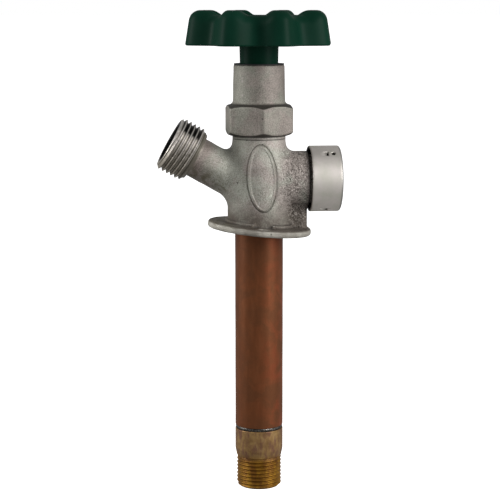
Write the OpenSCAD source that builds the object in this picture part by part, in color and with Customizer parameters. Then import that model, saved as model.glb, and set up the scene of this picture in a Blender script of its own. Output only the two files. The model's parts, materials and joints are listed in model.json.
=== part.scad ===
// Frost free sillcock: a multi-turn wall tap whose valve seat sits at the far end of a long tube.
// +Z runs along the tube towards the handle, +X towards the vacuum breaker, the spout leans to -X.
// The origin is where the tube's axis crosses the wall face of the flange.

/* [Casting] */
// Height from the wall face to the top of the neck
body_h = 45.6; // [43.6:0.1:50]
// Barrel outside diameter
barrel_d = 30; // [28.8:0.1:31]
// Neck outside diameter
neck_d = 25.2; // [24.4:0.1:27]
// Length of the straight neck
neck_len = 2.5; // [1:0.5:4]
// Length of the cone between neck and barrel
neck_cone_len = 11; // [8:0.5:12]
// Water chamber diameter
chamber_d = 18.6; // [17.5:0.1:19.5]
// Fillet where the branches leave the barrel
blend_r = 4; // [3:0.1:4.2]
// Width of the oval pad on the front
pad_w = 13.6; // [10:0.2:18]
// Height of the oval pad
pad_h = 31.2; // [24:0.2:34]
// Rise of the pad above the barrel
pad_rise = 0.5; // [0.3:0.1:1]
// Height of the pad's middle
pad_z = 26.2; // [25:0.1:27]
// Lean of the pad towards the spout
pad_lean = 3; // [0:0.5:6]

/* [Wall flange] */
// Flange diameter
flange_d = 49.4; // [48:0.2:56]
// Flange thickness at the rim
flange_t = 3.4; // [2.6:0.1:4.5]
// Rounding of the flange's rim
flange_edge_r = 1.2; // [0.6:0.1:1.2]
// Pitch of the flange, so that the tube drains outwards
drain_pitch = 5.4; // [2:0.2:7]
// Diameter of the raised ring round the barrel's foot
foot_ring_d = 33; // [32:0.2:34]
// Height of that ring above the flange
foot_ring_h = 1.2; // [0.6:0.1:2]
// Circle that the two fixing screws lie on
screw_circle_d = 39.6; // [39:0.1:41]
// Fixing screw hole
screw_hole_d = 5; // [4:0.1:5.4]
// Spot face round each fixing screw
spot_face_d = 12.4; // [9:0.2:14]
// Depth of the spot face in the flange
spot_face_depth = 0.3; // [0.2:0.1:0.8]

/* [Spout] */
// Rise of the spout above square to the tube
spout_angle = 29.5; // [22:0.5:32]
// Where the spout's axis leaves the tube's axis
spout_z = 18.6; // [18:0.2:20]
// Length of the spout along its axis
spout_reach = 48.8; // [46:0.2:58]
// Spout neck diameter
spout_neck_d = 19.4; // [18.8:0.1:20.4]
// Hose thread outside diameter
hose_thread_d = 26.9; // [26:0.1:27]
// Hose thread length
hose_thread_len = 12.4; // [11:0.2:14]
// Depth of the hose thread, which its lead chamfer runs out at
hose_thread_depth = 1.35; // [1:0.05:1.5]
// Bore at the mouth
mouth_d = 19.2; // [18:0.1:20]
// Depth of that bore
mouth_depth = 10.5; // [8:0.5:11]
// Waterway behind the mouth
spout_way_d = 14.4; // [12:0.1:15]

/* [Vacuum breaker body] */
// Height of the vacuum breaker's axis
vb_z = 24.7; // [23.4:0.1:25]
// Boss diameter
boss_d = 26.6; // [25.6:0.1:27.6]
// Boss length from the tube's axis
boss_reach = 23; // [21:0.2:26]
// Spigot diameter under the cap
spigot_d = 23; // [22:0.1:24]
// Spigot length beyond the boss
spigot_len = 8.9; // [8.6:0.1:12]
// Float chamber diameter
vb_chamber_d = 18; // [17:0.1:19]
// Waterway into the float chamber
vb_way_d = 9; // [7:0.1:10]
// Floor of the float chamber, from the tube's axis
vb_floor_x = 17; // [16:0.1:18]
// Thickness of the web between boss and flange
web_t = 11; // [8:0.5:14]
// Rounding of the web's outer edges
web_edge_r = 2.8; // [1.6:0.1:3.6]

/* [Vacuum breaker cap] */
// Cap diameter
cap_d = 31.4; // [30:0.1:34]
// Cap length
cap_len = 14.6; // [14:0.1:18]
// Cap wall
cap_wall = 1.1; // [0.7:0.1:1.4]
// Rounding of the cap's outer edge
cap_edge_r = 2.8; // [1.6:0.1:3.4]
// Vent gap between the boss and the cap's rim
vent_gap = 0.8; // [0.6:0.1:2]
// Width of each lanced tab, along the cap
tab_len = 2.4; // [1.6:0.1:3]
// Width of each lanced tab, round the cap
tab_w = 3.6; // [2:0.1:5]
// Direction of the first tab, up from the front
tab_angle = 54; // [0:1:90]
// Number of tabs
tab_count = 3; // [2:1:4]
// Weep hole in the cap's side
weep_d = 1.8; // [1:0.1:2.4]

/* [Vacuum breaker inside] */
// Retainer flange diameter
retainer_d = 26; // [25:0.1:27]
// Retainer flange thickness
retainer_t = 1.5; // [1:0.1:2]
// Vent opening through the retainer
vent_d = 11; // [9:0.1:12]
// Hub that guides the float
guide_d = 6; // [5.4:0.1:7]
// Length of that hub
guide_len = 5; // [3:0.1:5.4]
// Width of the arms that carry the hub
arm_w = 1.6; // [1:0.1:2.4]
// Number of arms
arm_count = 3; // [3:1:5]
// Float travel from the inlet to the vent seat
float_travel = 3; // [2:0.1:4]
// Float diameter
float_d = 15.2; // [13.6:0.1:16.4]
// Float thickness
float_t = 2.4; // [1.8:0.1:3]
// Float guide stem diameter
float_stem_d = 3.6; // [2.8:0.1:4.4]
// Float seal thickness
float_seal_t = 2; // [1.4:0.1:2.6]
// Section of the retainer's o-ring
vb_ring_section = 1.4; // [1:0.1:1.6]

/* [Tube] */
// Tube outside diameter
tube_d = 23; // [21.6:0.1:23.2]
// Tube wall
tube_wall = 1.14; // [0.8:0.02:1.3]
// Tube length below the wall face
tube_len = 94.5; // [90:0.1:400]
// Depth of the tube in the casting
socket_depth = 12; // [9:0.5:13]
// Width of the soldered groove below the tube
solder_gap_len = 1.6; // [0.6:0.1:2]

/* [Inlet adapter] */
// Length of the plain hub
hub_len = 14; // [12:0.1:20]
// Pipe thread outside diameter
pipe_thread_d = 21.4; // [20.8:0.1:21.6]
// Pipe thread length
pipe_thread_len = 14.8; // [13:0.1:16]
// Chamfer at the end of the thread
pipe_chamfer = 1.2; // [0.6:0.1:1.6]
// Length of the taper from the hub down to the thread
hub_taper_len = 4; // [2:0.1:5]
// Solder cup inside the thread
cup_d = 15.96; // [15.9:0.02:16.1]
// Depth of the solder cup
cup_depth = 12.7; // [10:0.1:13]
// Waterway between the cup and the seat
inlet_way_d = 12.6; // [11:0.1:13]
// Length of the spigot inside the tube
spigot_in_tube = 7; // [5:0.5:10]
// Orifice at the valve seat
orifice_d = 9.6; // [9:0.1:10.4]
// Height of the raised seat
seat_h = 1.2; // [0.6:0.1:2]
// Width of the raised seat's lip
seat_lip_w = 0.9; // [0.6:0.1:1.2]

/* [Seat carrier] */
// Seat washer diameter
washer_d = 13.8; // [13:0.1:14.4]
// Seat washer thickness
washer_t = 3.6; // [3:0.1:4.5]
// Seat holder diameter
holder_d = 15.8; // [15.4:0.1:17]
// Seat holder length above the washer
holder_len = 15.2; // [14:0.2:20]
// Lip of the holder round the washer
holder_lip = 2; // [1:0.1:2.6]
// Thickness of each guide wing
wing_t = 2.6; // [1.6:0.1:3.4]
// Number of guide wings
wing_count = 3; // [3:1:4]
// Seat screw shank
seat_screw_d = 4.2; // [3:0.1:4.6]
// Seat screw head
seat_screw_head_d = 7.6; // [6.4:0.1:8]
// Seat screw head height
seat_screw_head_h = 1.8; // [1.2:0.1:2.4]
// Seat screw length above the washer
seat_screw_len = 6.5; // [4:0.1:7.5]

/* [Stem] */
// Rise of the stem from closed to open
lift = 7.5; // [5:0.1:7.8]
// Operating rod diameter
rod_d = 8; // [7:0.1:9]
// Swivel button diameter on the rod's end
button_d = 7.4; // [6.4:0.1:8]
// Swivel button thickness
button_t = 2.8; // [2:0.1:3.4]
// Swivel neck diameter
swivel_neck_d = 4.8; // [4:0.1:5.4]
// Swivel neck length
swivel_neck_len = 3; // [2.4:0.1:3.6]
// Stem lead screw diameter
stem_thread_d = 12; // [11.4:0.1:13]
// Length of the lead screw
stem_thread_len = 19; // [16:0.2:19.4]
// Shoulder that stops the stem at full open
shoulder_d = 16; // [14:0.1:16.4]
// Thickness of that shoulder
shoulder_t = 3.2; // [2:0.1:4]
// Socket of the stem that takes the rod
rod_socket_d = 13; // [11.5:0.1:14]
// Depth of the rod in the stem
rod_socket_depth = 12; // [8:0.5:14]
// Diameter of the stem's smooth land
land_d = 10; // [9.6:0.1:10.6]
// Section of the stem o-rings
oring_section = 1.4; // [1.2:0.1:1.6]
// Distance between the stem o-rings
oring_pitch = 3.2; // [2.8:0.1:4]
// Square end that drives the handle
square_af = 6.9; // [6.2:0.1:7]
// Length of the square end
square_len = 24; // [23:0.5:28]

/* [Bonnet] */
// Hexagon across flats
hex_af = 30.2; // [29:0.1:32]
// Hexagon height
hex_h = 14.4; // [14:0.1:18]
// Chamfer angle of the hexagon
hex_chamfer = 30; // [15:1:35]
// Diameter where the hexagon's chamfer starts on its faces
hex_face_d = 29.2; // [28:0.1:29.8]
// Turn of the hexagon when tightened
hex_clock = 2; // [-30:1:30]
// Collar diameter at its foot
collar_d = 24.8; // [24.2:0.1:25.4]
// Collar diameter at its top
collar_top_d = 24.1; // [23.8:0.1:24.6]
// Collar height
collar_h = 18.7; // [18:0.1:22]
// Rounding of the collar's top edge
collar_edge_r = 0.8; // [0.5:0.1:1.2]
// Fillet between the collar's foot and the hexagon
collar_fillet = 2; // [0.8:0.1:2.1]
// Depth of the well in the collar
well_depth = 11.7; // [11:0.1:12.4]
// Bonnet thread diameter
bonnet_thread_d = 20; // [19.6:0.1:20.4]
// Bonnet thread length below the hexagon
bonnet_thread_len = 12; // [10:0.2:13]
// Chamfer at the end of the bonnet thread
bonnet_chamfer = 1; // [0.5:0.1:1.5]
// Gasket outside diameter
gasket_d = 22.8; // [22:0.1:23]
// Gasket thickness
gasket_t = 1.1; // [0.6:0.1:1.6]
// Gap between the hexagon and the neck when tightened on the gasket
bonnet_gap = 0.2; // [0.1:0.05:0.4]
// Wiper washer outside diameter
wiper_d = 23.9; // [23:0.1:24.2]
// Wiper washer thickness
wiper_t = 0.9; // [0.6:0.1:1.4]

/* [Handle] */
// Handle diameter over the lobes, at the rim
handle_d = 72; // [66:0.5:80]
// Depth of the finger valleys
valley_depth = 6.2; // [4:0.1:7]
// Number of lobes
lobes = 8; // [6:1:9]
// Share of the wave from valley to lobe at which the top begins to rise
lobe_rise = 0.35; // [0:0.05:0.5]
// Share of the wave at which the lobe's flat top begins
lobe_shoulder = 0.85; // [0.6:0.05:1]
// Turn of the handle at rest
handle_clock = -9; // [-22:1:22]
// Height of the handle over its lobes
handle_h = 16.7; // [15.6:0.1:20]
// Drop of the rim's top in the valleys
valley_drop = 2.3; // [1:0.1:3]
// Draft of the handle's sides
handle_draft = 9; // [4:0.5:11]
// Rounding of the handle's top edge
handle_edge_r = 4.2; // [3:0.1:4.6]
// Rounding of the handle's lower edges
handle_lip = 0.8; // [0.4:0.1:1.1]
// Width of the flat on top of the rim
crown_flat = 3; // [0:0.2:3.6]
// Width of the slope from that flat down to the dish
dish_slope_w = 9; // [8:0.2:9.4]
// Fillet between the web and the rim, underneath
rim_fillet = 4.8; // [3:0.2:6]
// Wall of the handle's rim
rim_wall = 3.4; // [2.8:0.1:4]
// Thickness of the handle's web
web_thick = 3.2; // [2.6:0.1:3.6]
// Depth of the ribs under the web
rib_depth = 4; // [2:0.1:5]
// Gap between the wiper washer and the handle's rim
handle_gap = 8.2; // [6:0.1:12]
// Sleeve diameter at the handle
sleeve_top_d = 18.5; // [18:0.1:18.8]
// Sleeve diameter at its end
sleeve_end_d = 17.7; // [17:0.1:17.9]
// Sleeve length inside the collar
sleeve_in = 10.4; // [9.6:0.1:10.8]
// Insert diameter
insert_d = 13; // [11.5:0.1:13.4]
// Recess round the handle screw
recess_d = 19; // [17:0.2:22]
// Handle screw shank
handle_screw_d = 4.8; // [4:0.1:5]
// Handle screw head
handle_screw_head_d = 10; // [8.6:0.1:11]
// Height of the handle screw's head
handle_screw_head_h = 3; // [2:0.1:3.4]
// Diameter of the flat on the handle screw's head
handle_screw_top_d = 7; // [5:0.1:8]
// Width of the handle screw's slot
slot_w = 1.2; // [0.8:0.1:1.6]
// Depth of that slot
slot_d = 1.4; // [0.8:0.1:1.6]
// Handle screw length
handle_screw_len = 14; // [10:0.5:18]
// Handle screw washer diameter
screw_washer_d = 14; // [12:0.2:16]
// Handle screw washer thickness
screw_washer_t = 1; // [0.6:0.1:1.4]

/* [Fits] */
// Radial gap of turning and sliding fits
running_gap = 0.05; // [0.02:0.01:0.09]
// Radial gap of soldered, threaded and seated pieces
seat_gap = 0.05; // [0.02:0.01:0.1]
// Gap beside a moving piece that is not a fit
clear_gap = 0.3; // [0.2:0.05:0.4]

/* [Hidden] */
$fn = 64;

// Overlap that carries a cut through a face, and depth that a blend is sunk in its walls
cut = 1;
blend_sink = 0.08;
// Facets of the blended and lofted forms
blend_steps = 40;
blend_arc_steps = 5;
handle_steps = 128;
crown_steps = 4;
edge_steps = 6;
bisect_steps = 36;
// Distance along a branch within which its blend lies
blend_search = 60;
pad_steps = 48;
// Colours
nickel = [0.55, 0.54, 0.53];
satin = [0.72, 0.70, 0.67];
copper = [0.45, 0.23, 0.14];
brass = [0.60, 0.47, 0.24];
solder = [0.50, 0.50, 0.50];
green = [0.06, 0.21, 0.14];
black = [0.06, 0.06, 0.06];
steel = [0.66, 0.67, 0.68];
plastic = [0.18, 0.18, 0.18];

// Heights up the axis
hex_z = body_h + bonnet_gap;
gasket_z = hex_z - gasket_t;
collar_z = hex_z + hex_h;
collar_top_z = collar_z + collar_h;
well_z = collar_top_z - well_depth;
bonnet_end_z = hex_z - bonnet_thread_len;
rim_z = collar_top_z + wiper_t + handle_gap;
handle_top_z = rim_z + handle_h;
sleeve_z = collar_top_z - sleeve_in;
neck_z = body_h - neck_len;
cone_z = neck_z - neck_cone_len;
tube_end_z = -tube_len;
hub_z = tube_end_z - solder_gap_len;
pipe_z = hub_z - hub_len;
inlet_z = pipe_z - pipe_thread_len;
spigot_top_z = tube_end_z + spigot_in_tube;
seat_z = spigot_top_z + seat_h;
washer_top_z = seat_z + washer_t;
holder_top_z = washer_top_z + holder_len;
// The rod's button stands on the floor of the holder's swivel pocket
button_top_z = holder_top_z - swivel_neck_len + clear_gap;
button_z = button_top_z - button_t;
rod_z = holder_top_z + clear_gap;
// The stem's shoulder meets the bonnet just past full open
shoulder_z = bonnet_end_z - lift - clear_gap - shoulder_t;
thread_z = shoulder_z + shoulder_t;
thread_top_z = thread_z + stem_thread_len;
bonnet_bore_z = thread_top_z + lift + clear_gap;
rod_top_z = shoulder_z;
stem_end_z = rod_top_z - rod_socket_depth;
land_z = bonnet_bore_z + clear_gap;
oring_z = land_z + oring_section + clear_gap;
// The insert stands on the stem's shoulder under the square
square_z = sleeve_z + clear_gap + lift / 2;
stem_top_z = square_z + square_len;
insert_top_z = stem_top_z + 2 * clear_gap;
screw_washer_z = insert_top_z;
screw_head_z = screw_washer_z + screw_washer_t;

// Radii
barrel_r = barrel_d / 2;
neck_r = neck_d / 2;
hex_corner_r = hex_af / 2 / cos(30);
tube_r = tube_d / 2;
tube_bore_r = tube_r - tube_wall;
socket_r = tube_r + seat_gap;
solder_pocket_r = socket_r + solder_gap_len;
adapter_spigot_r = tube_bore_r - seat_gap;
land_r = land_d / 2;
oring_bore_r = land_r + 4 * running_gap;
oring_r = oring_bore_r - running_gap - oring_section / 2;
groove_r = oring_r - oring_section / 2 - seat_gap;
groove_w = oring_section + 4 * seat_gap;
lead_bore_r = stem_thread_d / 2 + running_gap;
wiper_bore_d = sleeve_top_d + 2 * clear_gap;
insert_r = insert_d / 2;
cap_r = cap_d / 2;
cap_bore_r = cap_r - cap_wall;
hose_root_r = hose_thread_d / 2 - hose_thread_depth;

// Places along the vacuum breaker
spigot_end_x = boss_reach + spigot_len;
cap_rim_x = boss_reach + vent_gap;
cap_end_x = cap_rim_x + cap_len;
float_x = vb_floor_x + seat_gap;
float_face_x = float_x + float_t;
seal_face_x = float_face_x + float_seal_t;
vent_seat_x = seal_face_x + float_travel + seat_gap;
retainer_x = spigot_end_x;
guide_x = retainer_x + retainer_t - clear_gap - guide_len;
tab_x = retainer_x - seat_gap - tab_len;
vb_ring_x = (vent_seat_x + retainer_x) / 2;
vb_ring_r = vb_chamber_d / 2 - seat_gap - vb_ring_section / 2;

// Places along the spout
thread_start = spout_reach - hose_thread_len;

// Triangles of a closed grid of n sections with m points each
function grid_faces(n, m) = [for (i = [0 : n - 1], j = [0 : m - 1], half = [0, 1])
    let (i2 = (i + 1) % n, j2 = (j + 1) % m)
    half == 0 ? [i * m + j, i * m + j2, i2 * m + j2] : [i * m + j, i2 * m + j2, i2 * m + j]];

// Outside radius of neck, cone and barrel at height z
function barrel_radius(z) = z > neck_z ? neck_r
    : z < cone_z ? barrel_r
    : neck_r + (barrel_r - neck_r) * (neck_z - z) / neck_cone_len;

// Point p of a branch: along its axis by s, then r outwards at angle a round it
function branch_point(z0, rise, side, s, r, a) = [
    side * (s * cos(rise) - r * cos(a) * sin(rise)),
    r * sin(a),
    z0 + s * sin(rise) + r * cos(a) * cos(rise)];

// How far a point lies outside the barrel
function barrel_gap(p) = norm([p.x, p.y]) - barrel_radius(p.z);

// Where along the branch a ball of the blend's radius touches both branch and barrel, by halving
function ball_s(z0, rise, side, r, a, low, high, steps) = steps == 0 ? (low + high) / 2
    : let (mid = (low + high) / 2,
           outside = barrel_gap(branch_point(z0, rise, side, mid, r + blend_r, a)) > blend_r)
      outside ? ball_s(z0, rise, side, r, a, low, mid, steps - 1)
              : ball_s(z0, rise, side, r, a, mid, high, steps - 1);

// One section of a rolled fillet: an arc round the ball's centre, closed by a point inside both walls
function blend_section(z0, rise, side, r, a) =
    let (s = ball_s(z0, rise, side, r, a, 0, blend_search, bisect_steps),
         ball = branch_point(z0, rise, side, s, r + blend_r, a),
         to_branch = (branch_point(z0, rise, side, s, 0, a) - ball) / (r + blend_r),
         to_barrel = [-ball.x, -ball.y, 0] / norm([ball.x, ball.y]),
         half_angle = acos(to_branch * to_barrel) / 2,
         middle = (to_branch + to_barrel) / norm(to_branch + to_barrel),
         across = (to_barrel - to_branch) / norm(to_barrel - to_branch),
         inner = ball + middle * (blend_r / cos(half_angle) + cut))
    concat([inner], [for (k = [0 : blend_arc_steps])
        let (t = half_angle * (2 * k / blend_arc_steps - 1))
        ball + (blend_r + blend_sink) * (middle * cos(t) + across * sin(t))]);

// Rolled fillet where a branch of radius r leaves the barrel
module branch_blend(z0, rise, side, r) {
    sections = [for (i = [0 : blend_steps - 1])
        blend_section(z0, rise, side, r, side * 360 * i / blend_steps)];
    polyhedron([for (section = sections, p = section) p],
        grid_faces(blend_steps, len(sections[0])));
}

// Turns a profile of [radius, height] points round an axis that leaves the tube's axis at z0
module on_branch(z0, rise, side) {
    translate([0, 0, z0]) rotate([0, side * (90 - rise), 0]) children();
}

// Ring or disc from a plain cross-section
module ring(outer_r, inner_r, h) {
    difference() {
        cylinder(r = outer_r, h = h);
        translate([0, 0, -cut]) cylinder(r = inner_r, h = h + 2 * cut);
    }
}

// Round ring of circular section
module o_ring(centre_r, section_d) {
    rotate_extrude() translate([centre_r, 0]) circle(d = section_d, $fn = 32);
}

// Repeats something at both fixing screws
module at_fixing_screws() {
    for (side = [-1, 1]) translate([0, side * screw_circle_d / 2, 0]) children();
}

// Flange with a rounded rim and a raised ring round the barrel's foot, spot faced at the screws
module flange() {
    r = flange_d / 2;
    difference() {
        union() {
            rotate_extrude() {
                square([r - flange_edge_r, flange_t]);
                translate([0, flange_edge_r]) square([r, flange_t - 2 * flange_edge_r]);
                translate([r - flange_edge_r, flange_edge_r]) circle(r = flange_edge_r);
                translate([r - flange_edge_r, flange_t - flange_edge_r]) circle(r = flange_edge_r);
            }
            cylinder(d1 = foot_ring_d + 2 * foot_ring_h, d2 = foot_ring_d, h = flange_t + foot_ring_h);
        }
        at_fixing_screws() translate([0, 0, flange_t - spot_face_depth])
            cylinder(d = spot_face_d, h = foot_ring_h + cut);
    }
}

// Neck, cone and barrel in one turned profile, larger all round by grow
module barrel(grow = 0) {
    rotate_extrude() polygon([[0, -flange_t], [barrel_r + grow, -flange_t], [barrel_r + grow, cone_z],
        [neck_r + grow, neck_z], [neck_r + grow, body_h], [0, body_h]]);
}

// Spout with the hose thread at its major diameter
module spout_solid() {
    neck_r2 = spout_neck_d / 2;
    crest_r = hose_thread_d / 2;
    lead = crest_r - hose_root_r;
    runout = crest_r - neck_r2;
    rotate_extrude() polygon([[0, 0], [neck_r2, 0], [neck_r2, thread_start - runout / 2],
        [crest_r, thread_start], [crest_r, spout_reach - lead], [hose_root_r, spout_reach],
        [0, spout_reach]]);
}

// Boss and spigot that carry the vacuum breaker
module boss_solid() {
    cylinder(d = boss_d, h = boss_reach);
    cylinder(d = spigot_d, h = spigot_end_x);
}

// Web that stands on the flange under the boss
module boss_web() {
    reach = boss_reach - clear_gap;
    translate([0, 0, -flange_t]) linear_extrude(height = flange_t + vb_z) {
        translate([0, -web_t / 2]) square([reach - web_edge_r, web_t]);
        translate([0, web_edge_r - web_t / 2]) square([reach, web_t - 2 * web_edge_r]);
        for (side = [-1, 1])
            translate([reach - web_edge_r, side * (web_t / 2 - web_edge_r)]) circle(r = web_edge_r);
    }
}

// Oval pad on the front of the barrel
module front_pad() {
    intersection() {
        barrel(pad_rise);
        translate([0, 0, pad_z]) rotate([0, -pad_lean, 0]) rotate([90, 0, 0])
            linear_extrude(height = barrel_d)
                polygon([for (i = [0 : pad_steps - 1]) let (a = 360 * i / pad_steps)
                    [pad_w / 2 * cos(a), pad_h / 2 * sin(a)]]);
    }
}

module casting_cuts() {
    // Wall side of the flange
    rotate([0, drain_pitch, 0]) translate([0, 0, -barrel_d]) cylinder(d = 2 * flange_d, h = barrel_d);
    // Tube socket with its solder pocket, chamber and bonnet thread
    translate([0, 0, -barrel_d]) cylinder(r = socket_r, h = barrel_d + socket_depth);
    translate([0, 0, -barrel_d]) cylinder(r = solder_pocket_r, h = barrel_d + flange_t);
    cylinder(d = chamber_d, h = body_h);
    translate([0, 0, bonnet_end_z - clear_gap])
        cylinder(r = bonnet_thread_d / 2 + seat_gap, h = body_h);
    // Recess for the gasket, and room for the hexagon above the neck
    translate([0, 0, gasket_z]) cylinder(r = gasket_d / 2 + seat_gap, h = body_h);
    translate([0, 0, body_h]) cylinder(r = hex_corner_r + clear_gap, h = spout_reach);
    // Waterway and mouth of the spout
    on_branch(spout_z, spout_angle, -1) {
        cylinder(d = spout_way_d, h = spout_reach);
        translate([0, 0, spout_reach - mouth_depth]) cylinder(d = mouth_d, h = mouth_depth + cut);
    }
    // Waterway and chamber of the vacuum breaker
    on_branch(vb_z, 0, 1) {
        cylinder(d = vb_way_d, h = spigot_end_x);
        translate([0, 0, vb_floor_x]) cylinder(d = vb_chamber_d, h = spigot_end_x);
    }
    // Fixing screws
    rotate([0, drain_pitch, 0]) at_fixing_screws()
        translate([0, 0, -cut]) cylinder(d = screw_hole_d, h = 2 * flange_t);
}

module body_casting() {
    color(nickel) difference() {
        union() {
            barrel();
            rotate([0, drain_pitch, 0]) flange();
            on_branch(spout_z, spout_angle, -1) spout_solid();
            on_branch(vb_z, 0, 1) boss_solid();
            boss_web();
            front_pad();
            branch_blend(spout_z, spout_angle, -1, spout_neck_d / 2);
            branch_blend(vb_z, 0, 1, boss_d / 2);
        }
        casting_cuts();
    }
}

module copper_tube() {
    color(copper) translate([0, 0, tube_end_z])
        ring(tube_r, tube_bore_r, tube_len + socket_depth);
}

module inlet_adapter() {
    pipe_r = pipe_thread_d / 2;
    seat_r = orifice_d / 2;
    cup_top_z = inlet_z + cup_depth;
    way_top_z = hub_z;
    color(brass) rotate_extrude() polygon([
        [cup_d / 2, inlet_z], [pipe_r - pipe_chamfer, inlet_z], [pipe_r, inlet_z + pipe_chamfer],
        [pipe_r, pipe_z], [tube_r, pipe_z + hub_taper_len], [tube_r, hub_z],
        [adapter_spigot_r, hub_z], [adapter_spigot_r, spigot_top_z],
        [seat_r + seat_lip_w + seat_h, spigot_top_z], [seat_r + seat_lip_w, seat_z], [seat_r, seat_z],
        [seat_r, way_top_z], [inlet_way_d / 2, way_top_z], [inlet_way_d / 2, cup_top_z],
        [cup_d / 2, cup_top_z]]);
}

module flange_solder_ring() {
    ring_h = solder_gap_len;
    color(solder) translate([0, 0, flange_t - ring_h])
        ring(solder_pocket_r - seat_gap, tube_r + seat_gap, ring_h);
}

module inlet_solder_ring() {
    color(solder) translate([0, 0, hub_z])
        ring(tube_r - clear_gap, adapter_spigot_r + seat_gap, solder_gap_len);
}

// Hexagon with both faces chamfered
module chamfered_hex() {
    face_r = hex_face_d / 2;
    past_r = hex_corner_r + clear_gap;
    drop = (past_r - face_r) * tan(hex_chamfer);
    intersection() {
        rotate([0, 0, hex_clock - 90]) cylinder(r = hex_corner_r, h = hex_h, $fn = 6);
        rotate_extrude() polygon([[0, 0], [face_r, 0], [past_r, drop],
            [past_r, hex_h - drop], [face_r, hex_h], [0, hex_h]]);
    }
}

// Collar with a casting taper and a rounded top edge
module collar() {
    flat_r = collar_top_d / 2 - collar_edge_r;
    edge_z = collar_h - collar_edge_r;
    foot_r = collar_d / 2 + collar_fillet;
    rotate_extrude() polygon(concat([[0, -cut], [foot_r, -cut]],
        [for (k = [0 : edge_steps]) let (t = 90 * k / edge_steps)
            [foot_r - collar_fillet * sin(t), collar_fillet * (1 - cos(t))]],
        [for (k = [0 : edge_steps]) let (t = 90 * k / edge_steps)
            [flat_r + collar_edge_r * cos(t), edge_z + collar_edge_r * sin(t)]],
        [[0, collar_h]]));
}

module bonnet_nut() {
    color(nickel) difference() {
        union() {
            translate([0, 0, hex_z]) chamfered_hex();
            translate([0, 0, collar_z]) collar();
            translate([0, 0, bonnet_end_z]) {
                cylinder(d1 = bonnet_thread_d - 2 * bonnet_chamfer, d2 = bonnet_thread_d,
                    h = bonnet_chamfer);
                translate([0, 0, bonnet_chamfer])
                    cylinder(d = bonnet_thread_d, h = bonnet_thread_len);
            }
        }
        translate([0, 0, bonnet_end_z - cut])
            cylinder(r = lead_bore_r, h = bonnet_bore_z - bonnet_end_z + cut);
        translate([0, 0, bonnet_bore_z - cut]) cylinder(r = oring_bore_r, h = collar_top_z);
        translate([0, 0, well_z]) cylinder(d = wiper_bore_d, h = collar_top_z);
    }
}

module bonnet_gasket() {
    color(black) translate([0, 0, gasket_z])
        ring(gasket_d / 2, bonnet_thread_d / 2 + seat_gap, gasket_t);
}

module wiper_washer() {
    color(black) translate([0, 0, collar_top_z]) ring(wiper_d / 2, wiper_bore_d / 2, wiper_t);
}

// Deep cup with a rounded outer edge, open towards the boss
module cap_shell() {
    inner_edge_r = max(cap_edge_r - cap_wall, cap_wall / 2);
    rotate_extrude() difference() {
        union() {
            square([cap_r - cap_edge_r, cap_len]);
            square([cap_r, cap_len - cap_edge_r]);
            translate([cap_r - cap_edge_r, cap_len - cap_edge_r]) circle(r = cap_edge_r);
        }
        translate([0, -cut]) {
            square([cap_bore_r - inner_edge_r, cap_len - cap_wall + cut]);
            square([cap_bore_r, cap_len - cap_wall - inner_edge_r + cut]);
            translate([cap_bore_r - inner_edge_r, cap_len - cap_wall - inner_edge_r + cut])
                circle(r = inner_edge_r);
        }
    }
}

// Places something at an angle up from the front of the cap, pointing outwards
module round_cap(angle) {
    on_branch(vb_z, 0, 1) rotate([0, 0, angle - 90]) rotate([0, 90, 0]) children();
}

module vb_cap() {
    weep_x = retainer_x + retainer_t + weep_d / 2;
    tab_r = spigot_d / 2 + clear_gap;
    color(satin) difference() {
        union() {
            on_branch(vb_z, 0, 1) translate([0, 0, cap_rim_x]) cap_shell();
            for (i = [0 : tab_count - 1]) round_cap(-tab_angle + i * 360 / tab_count)
                translate([-tab_x - tab_len, -tab_w / 2, tab_r])
                    cube([tab_len, tab_w, cap_bore_r - tab_r + cap_wall / 2]);
        }
        for (i = [0 : tab_count - 1]) round_cap(-tab_angle + i * 360 / tab_count)
            translate([-tab_x + clear_gap - cap_wall, -tab_w / 2, tab_r + cap_wall])
                cube([cap_wall, tab_w, cap_r]);
        round_cap(-tab_angle) translate([-weep_x, 0, 0]) cylinder(d = weep_d, h = cap_r + cut);
    }
}

// Hub on arms, which guides the float and leaves the vent open
module guide_spider() {
    linear_extrude(height = guide_len) difference() {
        union() {
            circle(d = guide_d);
            for (i = [0 : arm_count - 1]) rotate(i * 360 / arm_count)
                translate([0, -arm_w / 2]) square([vent_d / 2 + clear_gap, arm_w]);
        }
        circle(r = float_stem_d / 2 + running_gap);
    }
}

module vb_retainer() {
    sleeve_r = vb_chamber_d / 2 - seat_gap;
    groove_inner_r = vb_ring_r - vb_ring_section / 2 - seat_gap;
    groove_len = vb_ring_section + 4 * seat_gap;
    color(plastic) on_branch(vb_z, 0, 1) {
        rotate_extrude() polygon([[vent_d / 2, vent_seat_x], [sleeve_r, vent_seat_x],
            [sleeve_r, vb_ring_x - groove_len / 2], [groove_inner_r, vb_ring_x - groove_len / 2],
            [groove_inner_r, vb_ring_x + groove_len / 2], [sleeve_r, vb_ring_x + groove_len / 2],
            [sleeve_r, retainer_x], [retainer_d / 2, retainer_x],
            [retainer_d / 2, retainer_x + retainer_t], [vent_d / 2, retainer_x + retainer_t]]);
        translate([0, 0, guide_x]) guide_spider();
    }
}

module vb_o_ring() {
    color(black) on_branch(vb_z, 0, 1) translate([0, 0, vb_ring_x])
        o_ring(vb_ring_r, vb_ring_section);
}

module vb_float() {
    stem_end_x = retainer_x + retainer_t;
    color(plastic) on_branch(vb_z, 0, 1) {
        translate([0, 0, float_x]) cylinder(d = float_d, h = float_t);
        translate([0, 0, float_x]) cylinder(d = float_stem_d, h = stem_end_x - float_x);
    }
}

module vb_float_seal() {
    color(black) on_branch(vb_z, 0, 1) translate([0, 0, float_face_x])
        ring(float_d / 2 - clear_gap, float_stem_d / 2 + seat_gap, float_seal_t);
}

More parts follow.
